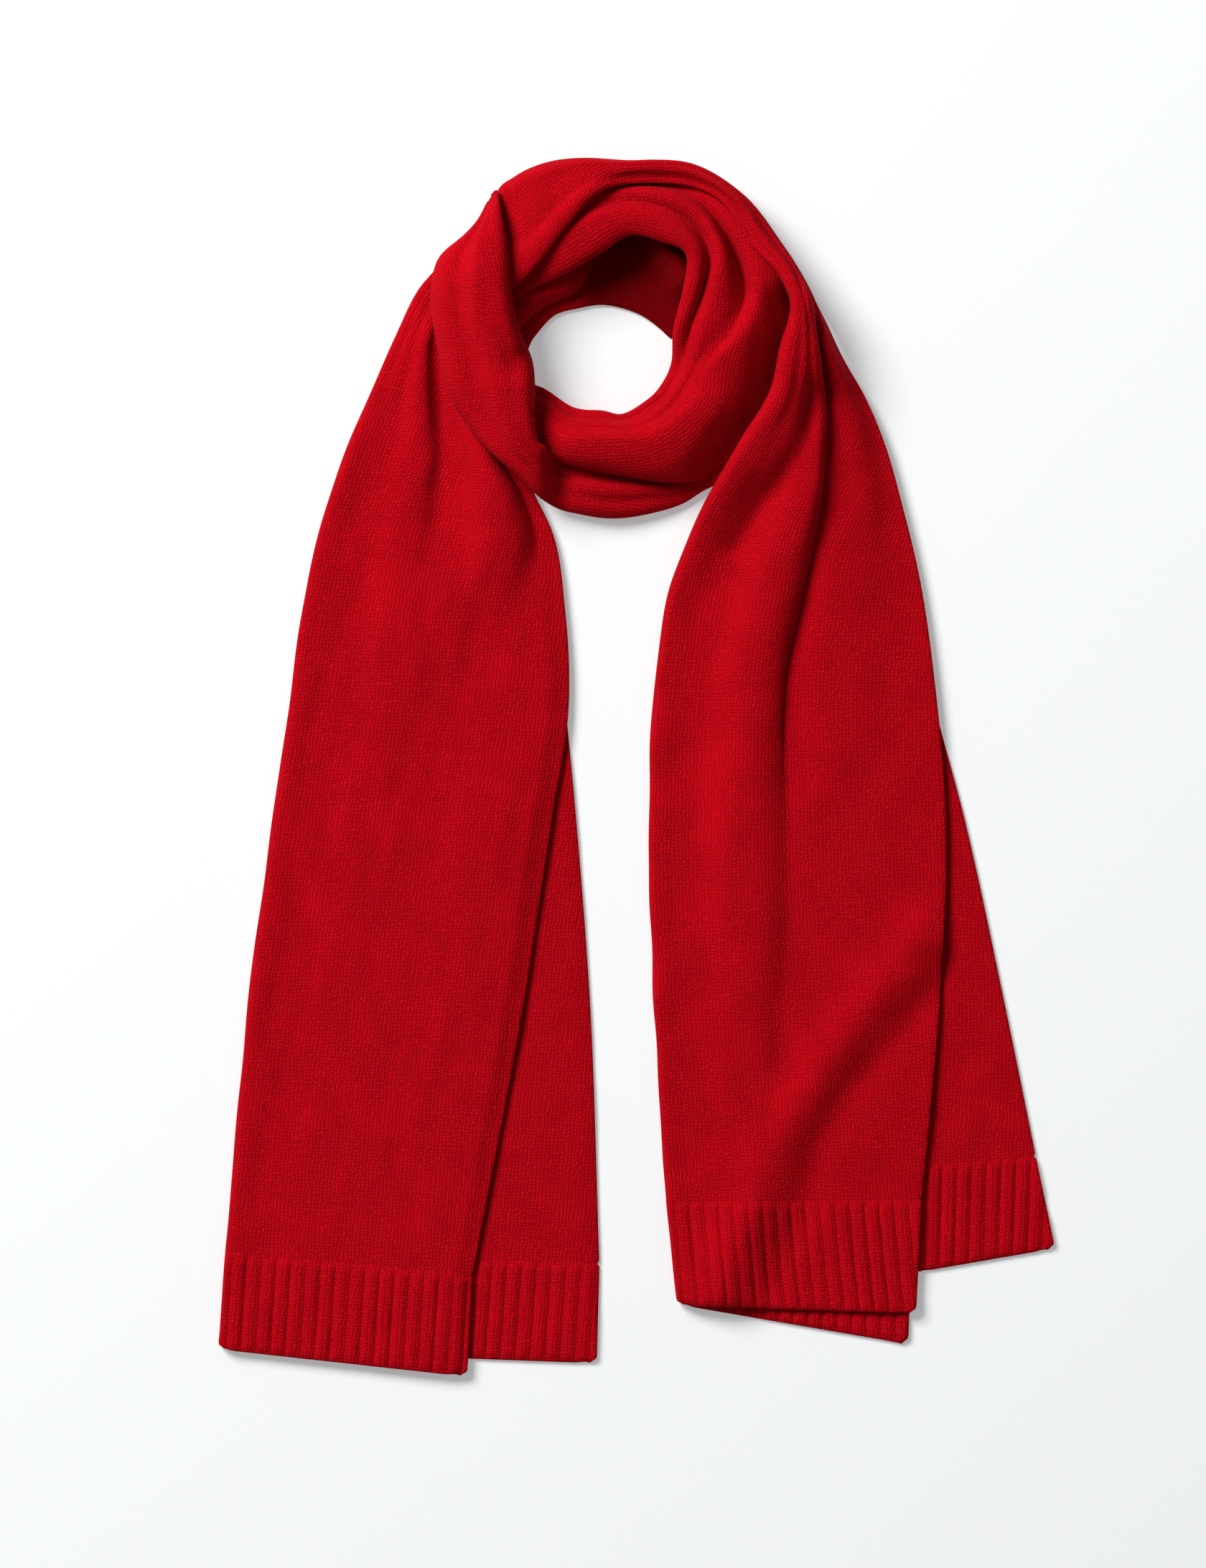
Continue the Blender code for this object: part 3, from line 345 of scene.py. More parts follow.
# %% Hidden layers
HIDDEN_LAYERS = Stretch(
    sections=[
        Section((-59.4, 222.2, 2.5), (-87.0, 222.2, 3.0), ((.15, 5), (.3, 5), (.55, 8), (.85, 7))),
        Section((-59.8, 233.8, 2.5), (-89.4, 245.4, 3.0), ((.12, 5), (.25, 5), (.5, 9), (.85, 7))),
        Section((-53.4, 245.0, 2.5), (-85.4, 269.4, 3.0), ((.12, 4), (.2, 4), (.4, 14), (.8, 8))),
        Section((-45.0, 253.0, 2.5), (-74.2, 295.4, 3.0), ((.06, 3.6), (.12, 3.4), (.3, 15), (.7, 9))),
        Section((-32.2, 257.0, 2.5), (-46.2, 318.2, 3.0), ((.06, 3.4), (.13, 3), (.27, 15), (.7, 9))),
        Section((-16.2, 259.0, 2.5), (-14.2, 323.4, 3.0), ((.1, 3.4), (.42, 2.6), (.55, 3), (.75, 5))),
        Section((-0.2, 255.0, 2.5), (20.8, 323.4, 3.0), ((.1, 3.2), (.38, 2.6), (.6, 4), (.78, 6))),
        Section((13.0, 246.6, 2.5), (54.8, 305.4, 3.0), ((.07, 3), (.2, 3), (.4, 5), (.7, 8))),
        Section((19.8, 240.2, 2.5), (70.0, 273.4, 3.0), ((.05, 3), (.12, 3), (.4, 5), (.7, 6))),
    ],
    steepness=(1, 0, .9, 0, 0, 1),
    soft_folds=[SoftFold(((14, 294), (18.6, 285.4), (23.4, 279.4), (27, 273.4)), 10.5, 13)],
)
tell("hidden layers", HIDDEN_LAYERS)

# %% [markdown]
# ## From a table to a surface
# Along the strip, each point of a section runs on a smooth curve to the next section.
# Across it, an arc with four handles joins one fold to the next, level at a ridge and
# upright in the side of a fold. A subdivided cage could do both, but it pulls every
# fold in and the heights of the table would be lost. All rows are worked out together,
# so fine cloth stays quick.

# %% Curves along the strip
def curve_along(values, knots, where):
    """Smooth curves through rows of points that stand at the knots."""
    gaps = np.diff(knots)
    rises = np.diff(values, axis=0) / gaps[:, None, None]
    before, after = gaps[:-1, None, None], gaps[1:, None, None]
    middle = (rises[:-1] * after + rises[1:] * before) / (before + after)
    slopes = np.concatenate([rises[:1], middle, rises[-1:]])
    i = np.clip(np.searchsorted(knots, where, side="right") - 1, 0, len(knots) - 2)
    span = gaps[i][:, None, None]
    t = (where - knots[i])[:, None, None] / span
    return (values[i] * (2 * t ** 3 - 3 * t ** 2 + 1)
            + span * slopes[i] * (t ** 3 - 2 * t ** 2 + t)
            + values[i + 1] * (3 * t ** 2 - 2 * t ** 3)
            + span * slopes[i + 1] * (t ** 3 - t ** 2))


# %% Arcs across the strip
PULL = 0.55              # how far a fold line's direction carries towards the next one
LEAST = 0.01             # of a width or depth that something is divided by


def fold_arcs(a, b, steep_a, steep_b, steps):
    """Points of the arcs from the points a to the points b, without the points a."""
    run = b - a
    plan = run * (1, 1, 0)
    rise = run * (0, 0, 1)
    wide = np.linalg.norm(plan, axis=1, keepdims=True)
    deep = np.maximum(np.abs(rise[:, 2:]), LEAST)
    stand = np.maximum(PULL, 1 - (1 - PULL) * wide / deep)
    share = np.clip(2 * deep / np.maximum(wide, LEAST), 0, 1)
    steep_a, steep_b = steep_a * share, steep_b * share
    leave = a + (1 - steep_a) * PULL * plan + steep_a * stand * rise
    arrive = b - (1 - steep_b) * PULL * plan - steep_b * stand * rise
    t = (np.arange(1, steps + 1) / steps)[None, :, None]
    s = 1 - t
    return (s ** 3 * a[:, None] + 3 * s * s * t * leave[:, None]
            + 3 * s * t * t * arrive[:, None] + t ** 3 * b[:, None])


# %% [markdown]
# ## Rolled edges
# Where the strip is folded, its edge is a round roll and the cloth goes back underneath.
# Such a roll could be rows of the table, but its points follow from two heights, and a
# table is easier to read without them. So they are worked out here for every section.

# %% Points of one section
FLANGE = 5.0             # cloth turned under beyond a rolled fold
ROLL_SHARE = 0.26        # most of a section's width that one rolled fold takes
FLANGE_SHARE = 0.38      # the same with its flange
UP = np.array((0.0, 0.0, 1.0))


def plan_point(x, y):
    return np.array((x, y, 0.0))


def rolled_fold(edge, heights, inward, width, under=None):
    """Ends of the flange and of the roll under an edge. under: where the flange ends."""
    widest, foot = heights
    roll = min(widest - foot, ROLL_SHARE * width)
    reach = min(roll + FLANGE, FLANGE_SHARE * width)
    flange = plan_point(*under) if under else edge + inward * reach
    return [flange + UP * foot, edge + inward * roll + UP * foot]


def section_points(section):
    """Layer under the start edge, start edge, folds, end edge and what is under it."""
    start = plan_point(*section.start[:2])
    end = plan_point(*section.end[:2])
    across = end - start
    width = np.linalg.norm(across)
    inward = across / width
    points = []
    if len(section.start) == 4:
        points += rolled_fold(start, section.start[2:], inward, width, section.under)
    points.append(start + UP * section.start[2])
    points += [start + across * share + UP * height for share, height in section.folds]
    if len(section.end) >= 3:
        points.append(end + UP * section.end[2])
    if len(section.end) == 4:
        points += reversed(rolled_fold(end, section.end[2:], -inward, width))
    return np.array(points)


# %% [markdown]
# ## Soft folds and small unevenness
# Laid cloth is never quite even. A Displace modifier with a cloudy texture could ripple
# it, but its waves wouldn't follow the strip. Here gentle ridges follow paths, and a few
# slow waves run over the distances across and along the strip, from a fixed seed.

# %% Height of the soft folds
FAR = 1e6                # further away than any path


def soft_rise(soft_folds, x, y):
    """Height that the soft folds add at plan points."""
    total = np.zeros_like(x)
    for fold in soft_folds:
        nearest = np.full_like(x, FAR)
        for (x0, y0), (x1, y1) in zip(fold.path, fold.path[1:]):
            dx, dy = x1 - x0, y1 - y0
            t = np.clip(((x - x0) * dx + (y - y0) * dy) / (dx * dx + dy * dy), 0, 1)
            nearest = np.minimum(nearest, np.hypot(x - x0 - t * dx, y - y0 - t * dy))
        total += fold.rise * np.exp(-(nearest / fold.half_width) ** 2)
    return total


# %% Small unevenness
WAVES = 14               # that lie over each other
WIDE_WAVES = (14, 60)    # their lengths across the strip
LONG_WAVES = (45, 160)   # their lengths along it
FULL_SWING = 4           # sum of the waves that counts as their full height


def unevenness(across, along, height, seed):
    """Slow waves over the cloth, longer along the wales than across them."""
    dice = np.random.RandomState(seed)
    total = np.zeros_like(across)
    for _ in range(WAVES):
        wide = dice.uniform(*WIDE_WAVES)
        long = dice.uniform(*LONG_WAVES)
        turn = dice.uniform(0, 2 * math.pi)
        way = dice.choice((-1, 1))
        total += np.sin(2 * math.pi * (across / wide + way * along / long) + turn)
    return total * height / FULL_SWING


# %% [markdown]
# ## Rows and columns of the cloth
# A cell of about two millimetres is fine enough for soft folds. A layer folded under is
# left coarse, since nobody sees it. A remesh would give even cells all over, but it
# would lose the rows and columns, and the distances across and along the strip that are
# kept with each point, because the stitches follow them. The unevenness dies away at the
# ends of a stretch, so that a tail and its welt meet without a step, and the inner face
# is set off from the even cloth, so that no wave pushes it out past an edge.

# %% Distances and directions over the cloth
SMOOTHING = 60           # rounds of evening out the distances along the strip
NO_LENGTH = 1e-9         # a vector shorter than this has no direction


def arc_across(outer, layer):
    """Distance over the cloth from its edge fold, smoothed along the strip."""
    steps = np.linalg.norm(np.diff(outer, axis=1), axis=2)
    across = np.concatenate([np.zeros((len(outer), 1)), np.cumsum(steps, axis=1)], axis=1)
    across -= across[:, layer:layer + 1]
    for _ in range(SMOOTHING):
        middle = (across[:-2] + 2 * across[1:-1] + across[2:]) / 4
        across = np.concatenate([across[:1], middle, across[-1:]])
    return across


def unit(vectors):
    """The vectors at a length of one."""
    return vectors / np.maximum(np.linalg.norm(vectors, axis=-1, keepdims=True), NO_LENGTH)


def face_normals(points):
    """Unit normals of the outer face."""
    return unit(np.cross(np.gradient(points, axis=0), np.gradient(points, axis=1)))


# %% Loft a stretch
CELL = 1.9               # across the cloth that shows
ROW = 2.2                # along it
HIDDEN_CELL = 7.0        # across the layer folded under
END_FADE = 10.0          # over which the unevenness dies away at each end
EDGE_FADE = 26.0         # the same at the end edge
Cloth = namedtuple("Cloth", "outer inner across along")


def loft(stretch, seed, uneven, cell=CELL, row=ROW, under_cell=HIDDEN_CELL):
    """Cloth of a stretch: its outer and inner faces and the distances over it."""
    table = np.array([section_points(section) for section in stretch.sections])
    # The distance along is measured near the middle of the strip.
    middle = (table[:, 2] + table[:, -3]) / 2 if table.shape[1] > 4 else table[:, 0]
    steps_along = np.linalg.norm(np.diff(middle[:, :2], axis=0), axis=1)
    knots = np.concatenate([[0.0], np.cumsum(steps_along)])
    where = np.linspace(0, knots[-1], max(3, round(knots[-1] / row)) + 1)
    lines = curve_along(table, knots, where)
    turned = len(stretch.sections[0].start) == 4
    columns = [lines[:, :1]]
    for k in range(lines.shape[1] - 1):
        a, b = lines[:, k], lines[:, k + 1]
        longest = np.linalg.norm(b - a, axis=1).max()
        size = under_cell if turned and k == 0 else cell
        steps = max(2, math.ceil(longest / size))
        columns.append(fold_arcs(a, b, stretch.steepness[k], stretch.steepness[k + 1], steps))
    outer = np.concatenate(columns, axis=1)
    # layer: column of the edge fold, with the cloth that is folded under before it.
    layer = columns[1].shape[1] + columns[2].shape[1] if turned else 0
    # still: the same columns where that cloth lies flat, so that no soft fold raises them.
    still = layer if any(section.under for section in stretch.sections) else 0
    rise = soft_rise(stretch.soft_folds, outer[..., 0], outer[..., 1])
    outer[:, still:, 2] += rise[:, still:]
    across = arc_across(outer, layer)
    along = np.repeat(where[:, None], outer.shape[1], axis=1)
    normals = face_normals(outer)
    ends = np.minimum(along, along[-1:] - along) / END_FADE
    fade = np.clip(np.minimum(ends, (across[:, -1:] - across) / EDGE_FADE), 0, 1)
    outer += normals * (fade * unevenness(across, along, uneven, seed))[..., None]
    return Cloth(outer, outer - normals * WALL, across, along)


# %% [markdown]
# ## A wall of cloth with soft edges
# A Solidify modifier could thicken the surface, but it leaves square edges. Knit has
# round ones, so three rims are laid round the border between the two faces. Where the
# cloth goes on into another piece, its end stays flat instead.

# %% Rims round the border
RIM_ANGLES = (45, 90, 135)   # of the rims round a cut edge, in degrees


def border_loop(rows, columns):
    """Rows and columns of the border's points, once round."""
    r = [0] * columns + list(range(1, rows))
    c = list(range(columns)) + [columns - 1] * (rows - 1)
    r += [rows - 1] * (columns - 1) + list(range(rows - 2, 0, -1))
    c += list(range(columns - 2, -1, -1)) + [0] * (rows - 2)
    return np.array(r), np.array(c)


def rims(outer, inner, joined):
    """Points of the rims round the border. joined: ends that go on into another piece."""
    rows, columns = outer.shape[:2]
    r, c = border_loop(rows, columns)
    edge = outer[r, c]
    out = np.zeros_like(edge)
    for at_end, towards in ((r == 0, (1, 0)), (r == rows - 1, (-1, 0)),
                            (c == 0, (0, 1)), (c == columns - 1, (0, -1))):
        inside = outer[np.clip(r + towards[0], 0, rows - 1), np.clip(c + towards[1], 0, columns - 1)]
        out += unit(edge - inside) * at_end[:, None]
    out = unit(out)
    if "first" in joined:
        out[r == 0] = 0
    if "last" in joined:
        out[r == rows - 1] = 0
    middle = (edge + inner[r, c]) / 2
    half = (edge - inner[r, c]) / 2
    thick = np.linalg.norm(half, axis=1, keepdims=True)
    turns = [math.radians(angle) for angle in RIM_ANGLES]
    return [middle + math.cos(turn) * half + math.sin(turn) * thick * out for turn in turns]


# %% Close the wall
SHARP = 70               # degrees past which an edge is shaded as an edge
DISTANCES = "wales and courses"


def cell_corners(rows, columns):
    """Points at the four corners of each cell, round it one way, and the points by row."""
    index = np.arange(rows * columns).reshape(rows, columns)
    corners = (index[:-1, :-1], index[1:, :-1], index[1:, 1:], index[:-1, 1:])
    return np.stack(corners, axis=-1).reshape(-1, 4), index


def closed_wall(name, cloth, finish, joined=()):
    """Mesh object of a cloth, in metres, with its distances in a UV map."""
    rows, columns = cloth.outer.shape[:2]
    count = rows * columns
    r, c = border_loop(rows, columns)
    rings = rims(cloth.outer, cloth.inner, joined)
    points = np.concatenate([cloth.outer.reshape(-1, 3), cloth.inner.reshape(-1, 3)] + rings)
    points[:, 2] = np.maximum(points[:, 2], 0)
    outside, index = cell_corners(rows, columns)
    inside = count + outside[:, (0, 3, 2, 1)]
    border = index[r, c]
    lines = [border] + [2 * count + k * len(r) + np.arange(len(r)) for k in range(len(rings))]
    lines.append(count + border)
    strips = [np.stack([a, np.roll(a, -1), np.roll(b, -1), b], axis=-1)
              for a, b in zip(lines, lines[1:])]
    faces = np.concatenate([outside, inside] + strips)
    mesh = bpy.data.meshes.new(name)
    mesh.from_pydata((points * MM).tolist(), [], faces.tolist())
    flat = np.stack([cloth.across, cloth.along], axis=-1).reshape(-1, 2) * MM
    flat = np.concatenate([flat, flat] + [flat[border]] * len(rings))
    corners = np.empty(len(mesh.loops), dtype=np.int32)
    mesh.loops.foreach_get("vertex_index", corners)
    stitches = mesh.uv_layers.new(name=DISTANCES)
    stitches.data.foreach_set("uv", flat[corners].ravel())
    mesh.materials.append(finish)
    mesh.shade_smooth()
    mesh.set_sharp_from_angle(angle=math.radians(SHARP))
    piece = bpy.data.objects.new(name, mesh)
    bpy.context.scene.collection.objects.link(piece)
    area = sum(face.area for face in mesh.polygons) / 2
    print(f"{name}: {rows} rows of {columns} points, {2 * len(faces)} triangles, {area:.4f} m2 of knit")
    return piece


# %% [markdown]
# ## Laying one stretch on another
# A cloth simulation could settle the stretches, but it would move the folds too. Here
# rays from above find what lies below each point. Where the cloth would sink in, it is
# raised, and the rise is eased out over the cloth round it, as a real layer would do.

# %% Raise a cloth onto what is below
CLEARANCE = 0.45         # between one stretch and the one that it lies on
NO_LIMIT = 99.0          # most that a stretch rises to lie on another one
TUCK = 6.0               # the same for the left turn, whose lower end is tucked under
REACH = 1.5              # how far beside a point the cloth below counts
EASING = 500             # rounds of easing a rise out over the cloth
RAY_START = 200          # height that the rays come down from
ROUND_A_POINT = ((0, 0), (REACH, 0), (-REACH, 0), (0, REACH), (0, -REACH))


def ray_tree(cloth):
    """Tree for rays against both faces of a cloth."""
    rows, columns = cloth.outer.shape[:2]
    faces, _ = cell_corners(rows, columns)
    points = np.concatenate([cloth.outer.reshape(-1, 3), cloth.inner.reshape(-1, 3)])
    return BVHTree.FromPolygons(points.tolist(), np.concatenate([faces, rows * columns + faces]).tolist())


def laid_on(cloth, below, most=NO_LIMIT):
    """The cloth, raised to lie on the trees below. Past most it is tucked under instead."""
    down = Vector((0, 0, -1))
    needs = np.zeros(cloth.outer.shape[:2])
    for face in (cloth.outer, cloth.inner):
        for (r, c), z in np.ndenumerate(face[..., 2]):
            x, y = face[r, c, :2]
            for dx, dy in ROUND_A_POINT:
                for tree in below:
                    hit = tree.ray_cast((x + dx, y + dy, RAY_START), down)[0]
                    if hit and needs[r, c] < hit.z + CLEARANCE - z < most:
                        needs[r, c] = hit.z + CLEARANCE - z
    lifts = needs.copy()
    for _ in range(EASING):
        wide = np.pad(lifts, 1, mode="edge")
        around = (wide[:-2, 1:-1] + wide[2:, 1:-1] + wide[1:-1, :-2] + wide[1:-1, 2:]) / 4
        lifts = np.maximum(needs, around)
    up = lifts[..., None] * (0, 0, 1)
    print(f"most that it was raised: {lifts.max():.1f} mm")
    return cloth._replace(outer=cloth.outer + up, inner=cloth.inner + up)


# %% [markdown]
# ## Maths as sums
# The ribs and the finish are both formulas made of many small nodes. The nodes could be
# linked one by one, but nobody reads a formula out of such a list. So a small class
# stands for one output of a node, and a sum of such wires makes the nodes it needs.

# %% One output of a node
class Wire:
    """One output of a node in a tree, so that a formula can be written as a sum."""

    def __init__(self, tree, socket=None):
        self.tree = tree
        self.socket = socket

    def node(self, kind, settings, sockets, output=0):
        """Any other node: its settings first, then values or wires for its sockets."""
        made = self.tree.nodes.new(kind)
        for name, value in settings.items():
            setattr(made, name, value)
        for key, value in sockets.items():
            if isinstance(value, Wire):
                self.tree.links.new(value.socket, made.inputs[key])
            else:
                made.inputs[key].default_value = value
        return Wire(self.tree, made.outputs[output] if made.outputs else None)

    def maths(self, operation, first, second=0.0):
        return self.node("ShaderNodeMath", {"operation": operation}, {0: first, 1: second})

    def __add__(self, other):
        return self.maths("ADD", self, other)

    def __sub__(self, other):
        return self.maths("SUBTRACT", self, other)

    def __rsub__(self, other):
        return self.maths("SUBTRACT", other, self)

    def __mul__(self, other):
        return self.maths("MULTIPLY", self, other)

    def __truediv__(self, other):
        return self.maths("DIVIDE", self, other)

    def __rtruediv__(self, other):
        return self.maths("DIVIDE", other, self)

    def __pow__(self, other):
        return self.maths("POWER", self, other)

    def __rpow__(self, other):
        return self.maths("POWER", other, self)

    __radd__ = __add__
    __rmul__ = __mul__

    def sine(self):
        return self.maths("SINE", self)

    def fraction(self):
        return self.maths("FRACT", self)

    def size(self):
        return self.maths("ABSOLUTE", self)

    def clipped(self):
        return self.maths("MAXIMUM", self.maths("MINIMUM", self, 1.0), 0.0)


# %% [markdown]
# ## The ribs of the welts
# Each end of the strip is knitted in a 2 x 2 rib: two wales stand up and two lie back,
# all the way across, and they end in the cast-on edge. Ribs could be cut as grooves one
# by one, but they repeat by a rule, so a small Geometry Nodes tree raises them: it reads
# how far across the strip each point is, and pushes it up where a rib runs. The tops
# are wide and the furrows narrow, because the wales that lie back draw together.

# %% Geometry Nodes tree that raises ribs
RIB_REPEAT = 8.3         # two wales up and two back
RIB_RISE = 1.1           # of a rib above the furrow beside it
FURROW_SINE = -0.95      # sine at which the side of a rib starts to rise
TOP_SINE = -0.05         # sine at which it has reached the top
READ_ACROSS = "rib across"
READ_PUSH = "rib push"


def rib_tree():
    """Tree that pushes a welt's points up where a rib runs."""
    tree = bpy.data.node_groups.new("raise ribs", "GeometryNodeTree")
    sizes = (("Welt", "NodeSocketGeometry", None), ("Repeat", "NodeSocketFloat", RIB_REPEAT * MM),
             ("Rise", "NodeSocketFloat", RIB_RISE * MM), ("Finish", "NodeSocketMaterial", None))
    for name, kind, value in sizes:
        socket = tree.interface.new_socket(name, in_out="INPUT", socket_type=kind)
        if value is not None:
            socket.default_value = value
    tree.interface.new_socket("Welt", in_out="OUTPUT", socket_type="NodeSocketGeometry")
    make = Wire(tree).node
    welt, repeat, rise, finish = (make("NodeGroupInput", {}, {}, name) for name, _, _ in sizes)
    across = make("GeometryNodeInputNamedAttribute", {"data_type": "FLOAT"}, {"Name": READ_ACROSS})
    push = make("GeometryNodeInputNamedAttribute", {"data_type": "FLOAT_VECTOR"}, {"Name": READ_PUSH})
    wave = (across / repeat * (2 * math.pi)).sine()
    up = make("ShaderNodeMapRange", {"interpolation_type": "SMOOTHSTEP"},
              {0: wave, 1: FURROW_SINE, 2: TOP_SINE, 3: 0.0, 4: 1.0})
    offset = make("ShaderNodeVectorMath", {"operation": "SCALE"}, {0: push, 3: up * rise})
    moved = make("GeometryNodeSetPosition", {}, {0: welt, 3: offset})
    real = make("GeometryNodeRealizeInstances", {}, {0: moved})
    make("NodeGroupOutput", {}, {0: make("GeometryNodeSetMaterial", {}, {0: real, 2: finish})})
    print(f"{tree.name}: {len(tree.nodes)} nodes, a rib every {RIB_REPEAT} mm, {RIB_RISE} mm high")
    return tree


ribs = rib_tree()

# %% Run the tree on a welt
def ribbed(piece, tree, finish):
    """Run the tree on a welt and keep the result as its plain mesh."""
    modifier = piece.modifiers.new("ribs", "NODES")
    modifier.node_group = tree
    for item in tree.interface.items_tree:
        if item.in_out == "INPUT" and item.name == "Finish":
            modifier[item.identifier] = finish
    depsgraph = bpy.context.evaluated_depsgraph_get()
    raised = bpy.data.meshes.new_from_object(piece.evaluated_get(depsgraph), depsgraph=depsgraph)
    piece.modifiers.clear()
    plain = piece.data
    piece.data = raised
    raised.name = piece.name
    bpy.data.meshes.remove(plain)


# %% [markdown]
# ## What the ribs need of a welt
# The hem of a welt has round corners. A Bevel modifier could cut them, but its new
# points would have no distances for the ribs to read, so the last rows are pulled in
# instead. The tree reads two things: how far across the strip a point is, and which way
# and how much a rib pushes it, on both faces and on the rims between them.

# %% Round the corners of a hem
HEM_ROUND = 3.2          # radius of a hem's corner
ROUND_REACH = 12.0       # of its pull, across the strip


def rounded_corners(cloth, fold):
    """The cloth with the corners of its hem pulled in. fold: column of its edge fold."""
    past = np.clip(HEM_ROUND - (cloth.along[-1:] - cloth.along), 0, HEM_ROUND)
    inset = HEM_ROUND - np.sqrt(HEM_ROUND ** 2 - past ** 2)
    inward = unit((cloth.outer[:, -1] - cloth.outer[:, fold]) * (1, 1, 0))
    outer = cloth.outer.copy()
    for edge, way in ((fold, 1), (-1, -1)) + (((0, -1),) if fold else ()):
        beside = np.abs(cloth.across - cloth.across[:, [edge]])
        pull = way * inset * np.clip(1 - beside / ROUND_REACH, 0, 1)
        outer += pull[..., None] * inward[:, None]
    return cloth._replace(outer=outer, inner=outer - face_normals(outer) * WALL)


# %% Give a welt what the tree reads
START_BAND = 4.0         # along the strip, where the ribs rise out of the plain knit
HEM_BAND = 3.0           # the same where they end in the cast-on edge
HEM_LEFT = 0.2           # of that band, what is left of it at the very edge
RIM_SHARES = (0.85, 0.5, 0.15)   # of a rib's push that the rims take, from the outer face on


def number_ribs(piece, cloth, layer):
    """Distance across and push of each point. layer: columns of the cloth folded under."""
    rows, columns = cloth.outer.shape[:2]
    hem = cloth.along[-1:] - cloth.along
    ease = np.clip(np.minimum(cloth.along / START_BAND, hem / HEM_BAND + HEM_LEFT), 0, 1)
    ease = (ease * ease * (3 - 2 * ease))[..., None] * (0, 0, 1)
    front = (np.arange(columns) > layer)[None, :, None]
    # On the front the outer face is pushed up. Under it the cloth lies upside down, so
    # the inner face looks up there and is pushed instead.
    pushes = [(ease * front).reshape(-1, 3), (ease * ~front).reshape(-1, 3)]
    border = border_loop(rows, columns)
    edges = (ease * front)[border]
    pushes += [edges * share for share in RIM_SHARES]
    across = cloth.across.ravel() * MM
    across = np.concatenate([across, across] + [cloth.across[border] * MM] * len(RIM_SHARES))
    attribute = piece.data.attributes.new(READ_ACROSS, "FLOAT", "POINT")
    attribute.data.foreach_set("value", across.astype(np.float32))
    attribute = piece.data.attributes.new(READ_PUSH, "FLOAT_VECTOR", "POINT")
    attribute.data.foreach_set("vector", np.concatenate(pushes).ravel().astype(np.float32))


# %% [markdown]
# ## The finish of the yarn
# The yarn is soft, matt and a little fuzzy. Its stitches are far too many to model, and hair would cost
# more still, so they are bump: each wale is a column of V stitches, drawn over the distances across and
# along the strip. In worn wool the wales stray and the rows part, so that only pebbles are left of the
# stitches, and in some patches only the wales. Fine noise felts them together, and the colour is made
# deeper between the stitches as painted shade in their hollows.
# Inside the opening, from 60 mm along the hidden layers on, the colour is darker still: painted shade for
# the deep pocket under the wraps.

# %% Knit finish
WALE = 2.07 * MM         # width of one column of stitches
COURSE = 1.9 * MM        # height of one row of stitches
SLANT = 0.45             # courses that the sides of a stitch are ahead of its middle
STRAY_ACROSS = 1.3       # wales that a column of stitches strays
STRAY_ALONG = 1.9        # courses that a row of stitches strays
PATCH_LEVEL = 0.52       # of its noise, above which the knit is worn down to the wales
PATCH_EDGE = 6           # how sharply such a patch begins
PATCH_BLUR = 0.6         # part of the stitches that is lost in it
PATCH_RISE = 0.45        # height of the bare wales in it
KNIT_LEAST = 0.25        # height of the stitches where they are felted over
KNIT_MORE = 0.9          # what they stand out more, at most
FELT_HEIGHT = 0.45       # of the fibres beside the stitches
FLUFF_HEIGHT = 0.5       # of the tufts beside them
KNIT_PAINTED_SHADE = 0.34        # painted shade: how much deeper the colour is in the hollows between the stitches
FELT_SHADE = 0.45        # what the fibres do
FLUFF_SHADE = 0.30       # what the tufts do
CLOUD_SHADE = 0.35       # what slow changes do
SHADE_LESS = 0.20        # taken off all over, for a deeper red
STITCH_DEPTH = 0.5 * MM  # of the bump, from the top of the pile to the ground
PAINTED_SHADE_FADE = 40        # to a metre, how fast the painted shade begins
PAINTED_SHADE_DEEPER = 0.62    # how much darker the painted shade makes the colour
RED_DEEP = (0.15, 0.0005, 0.0022, 1.0)
RED_FULL = (0.62, 0.0024, 0.0095, 1.0)
SHEEN_RED = (1.0, 0.06, 0.12, 1.0)


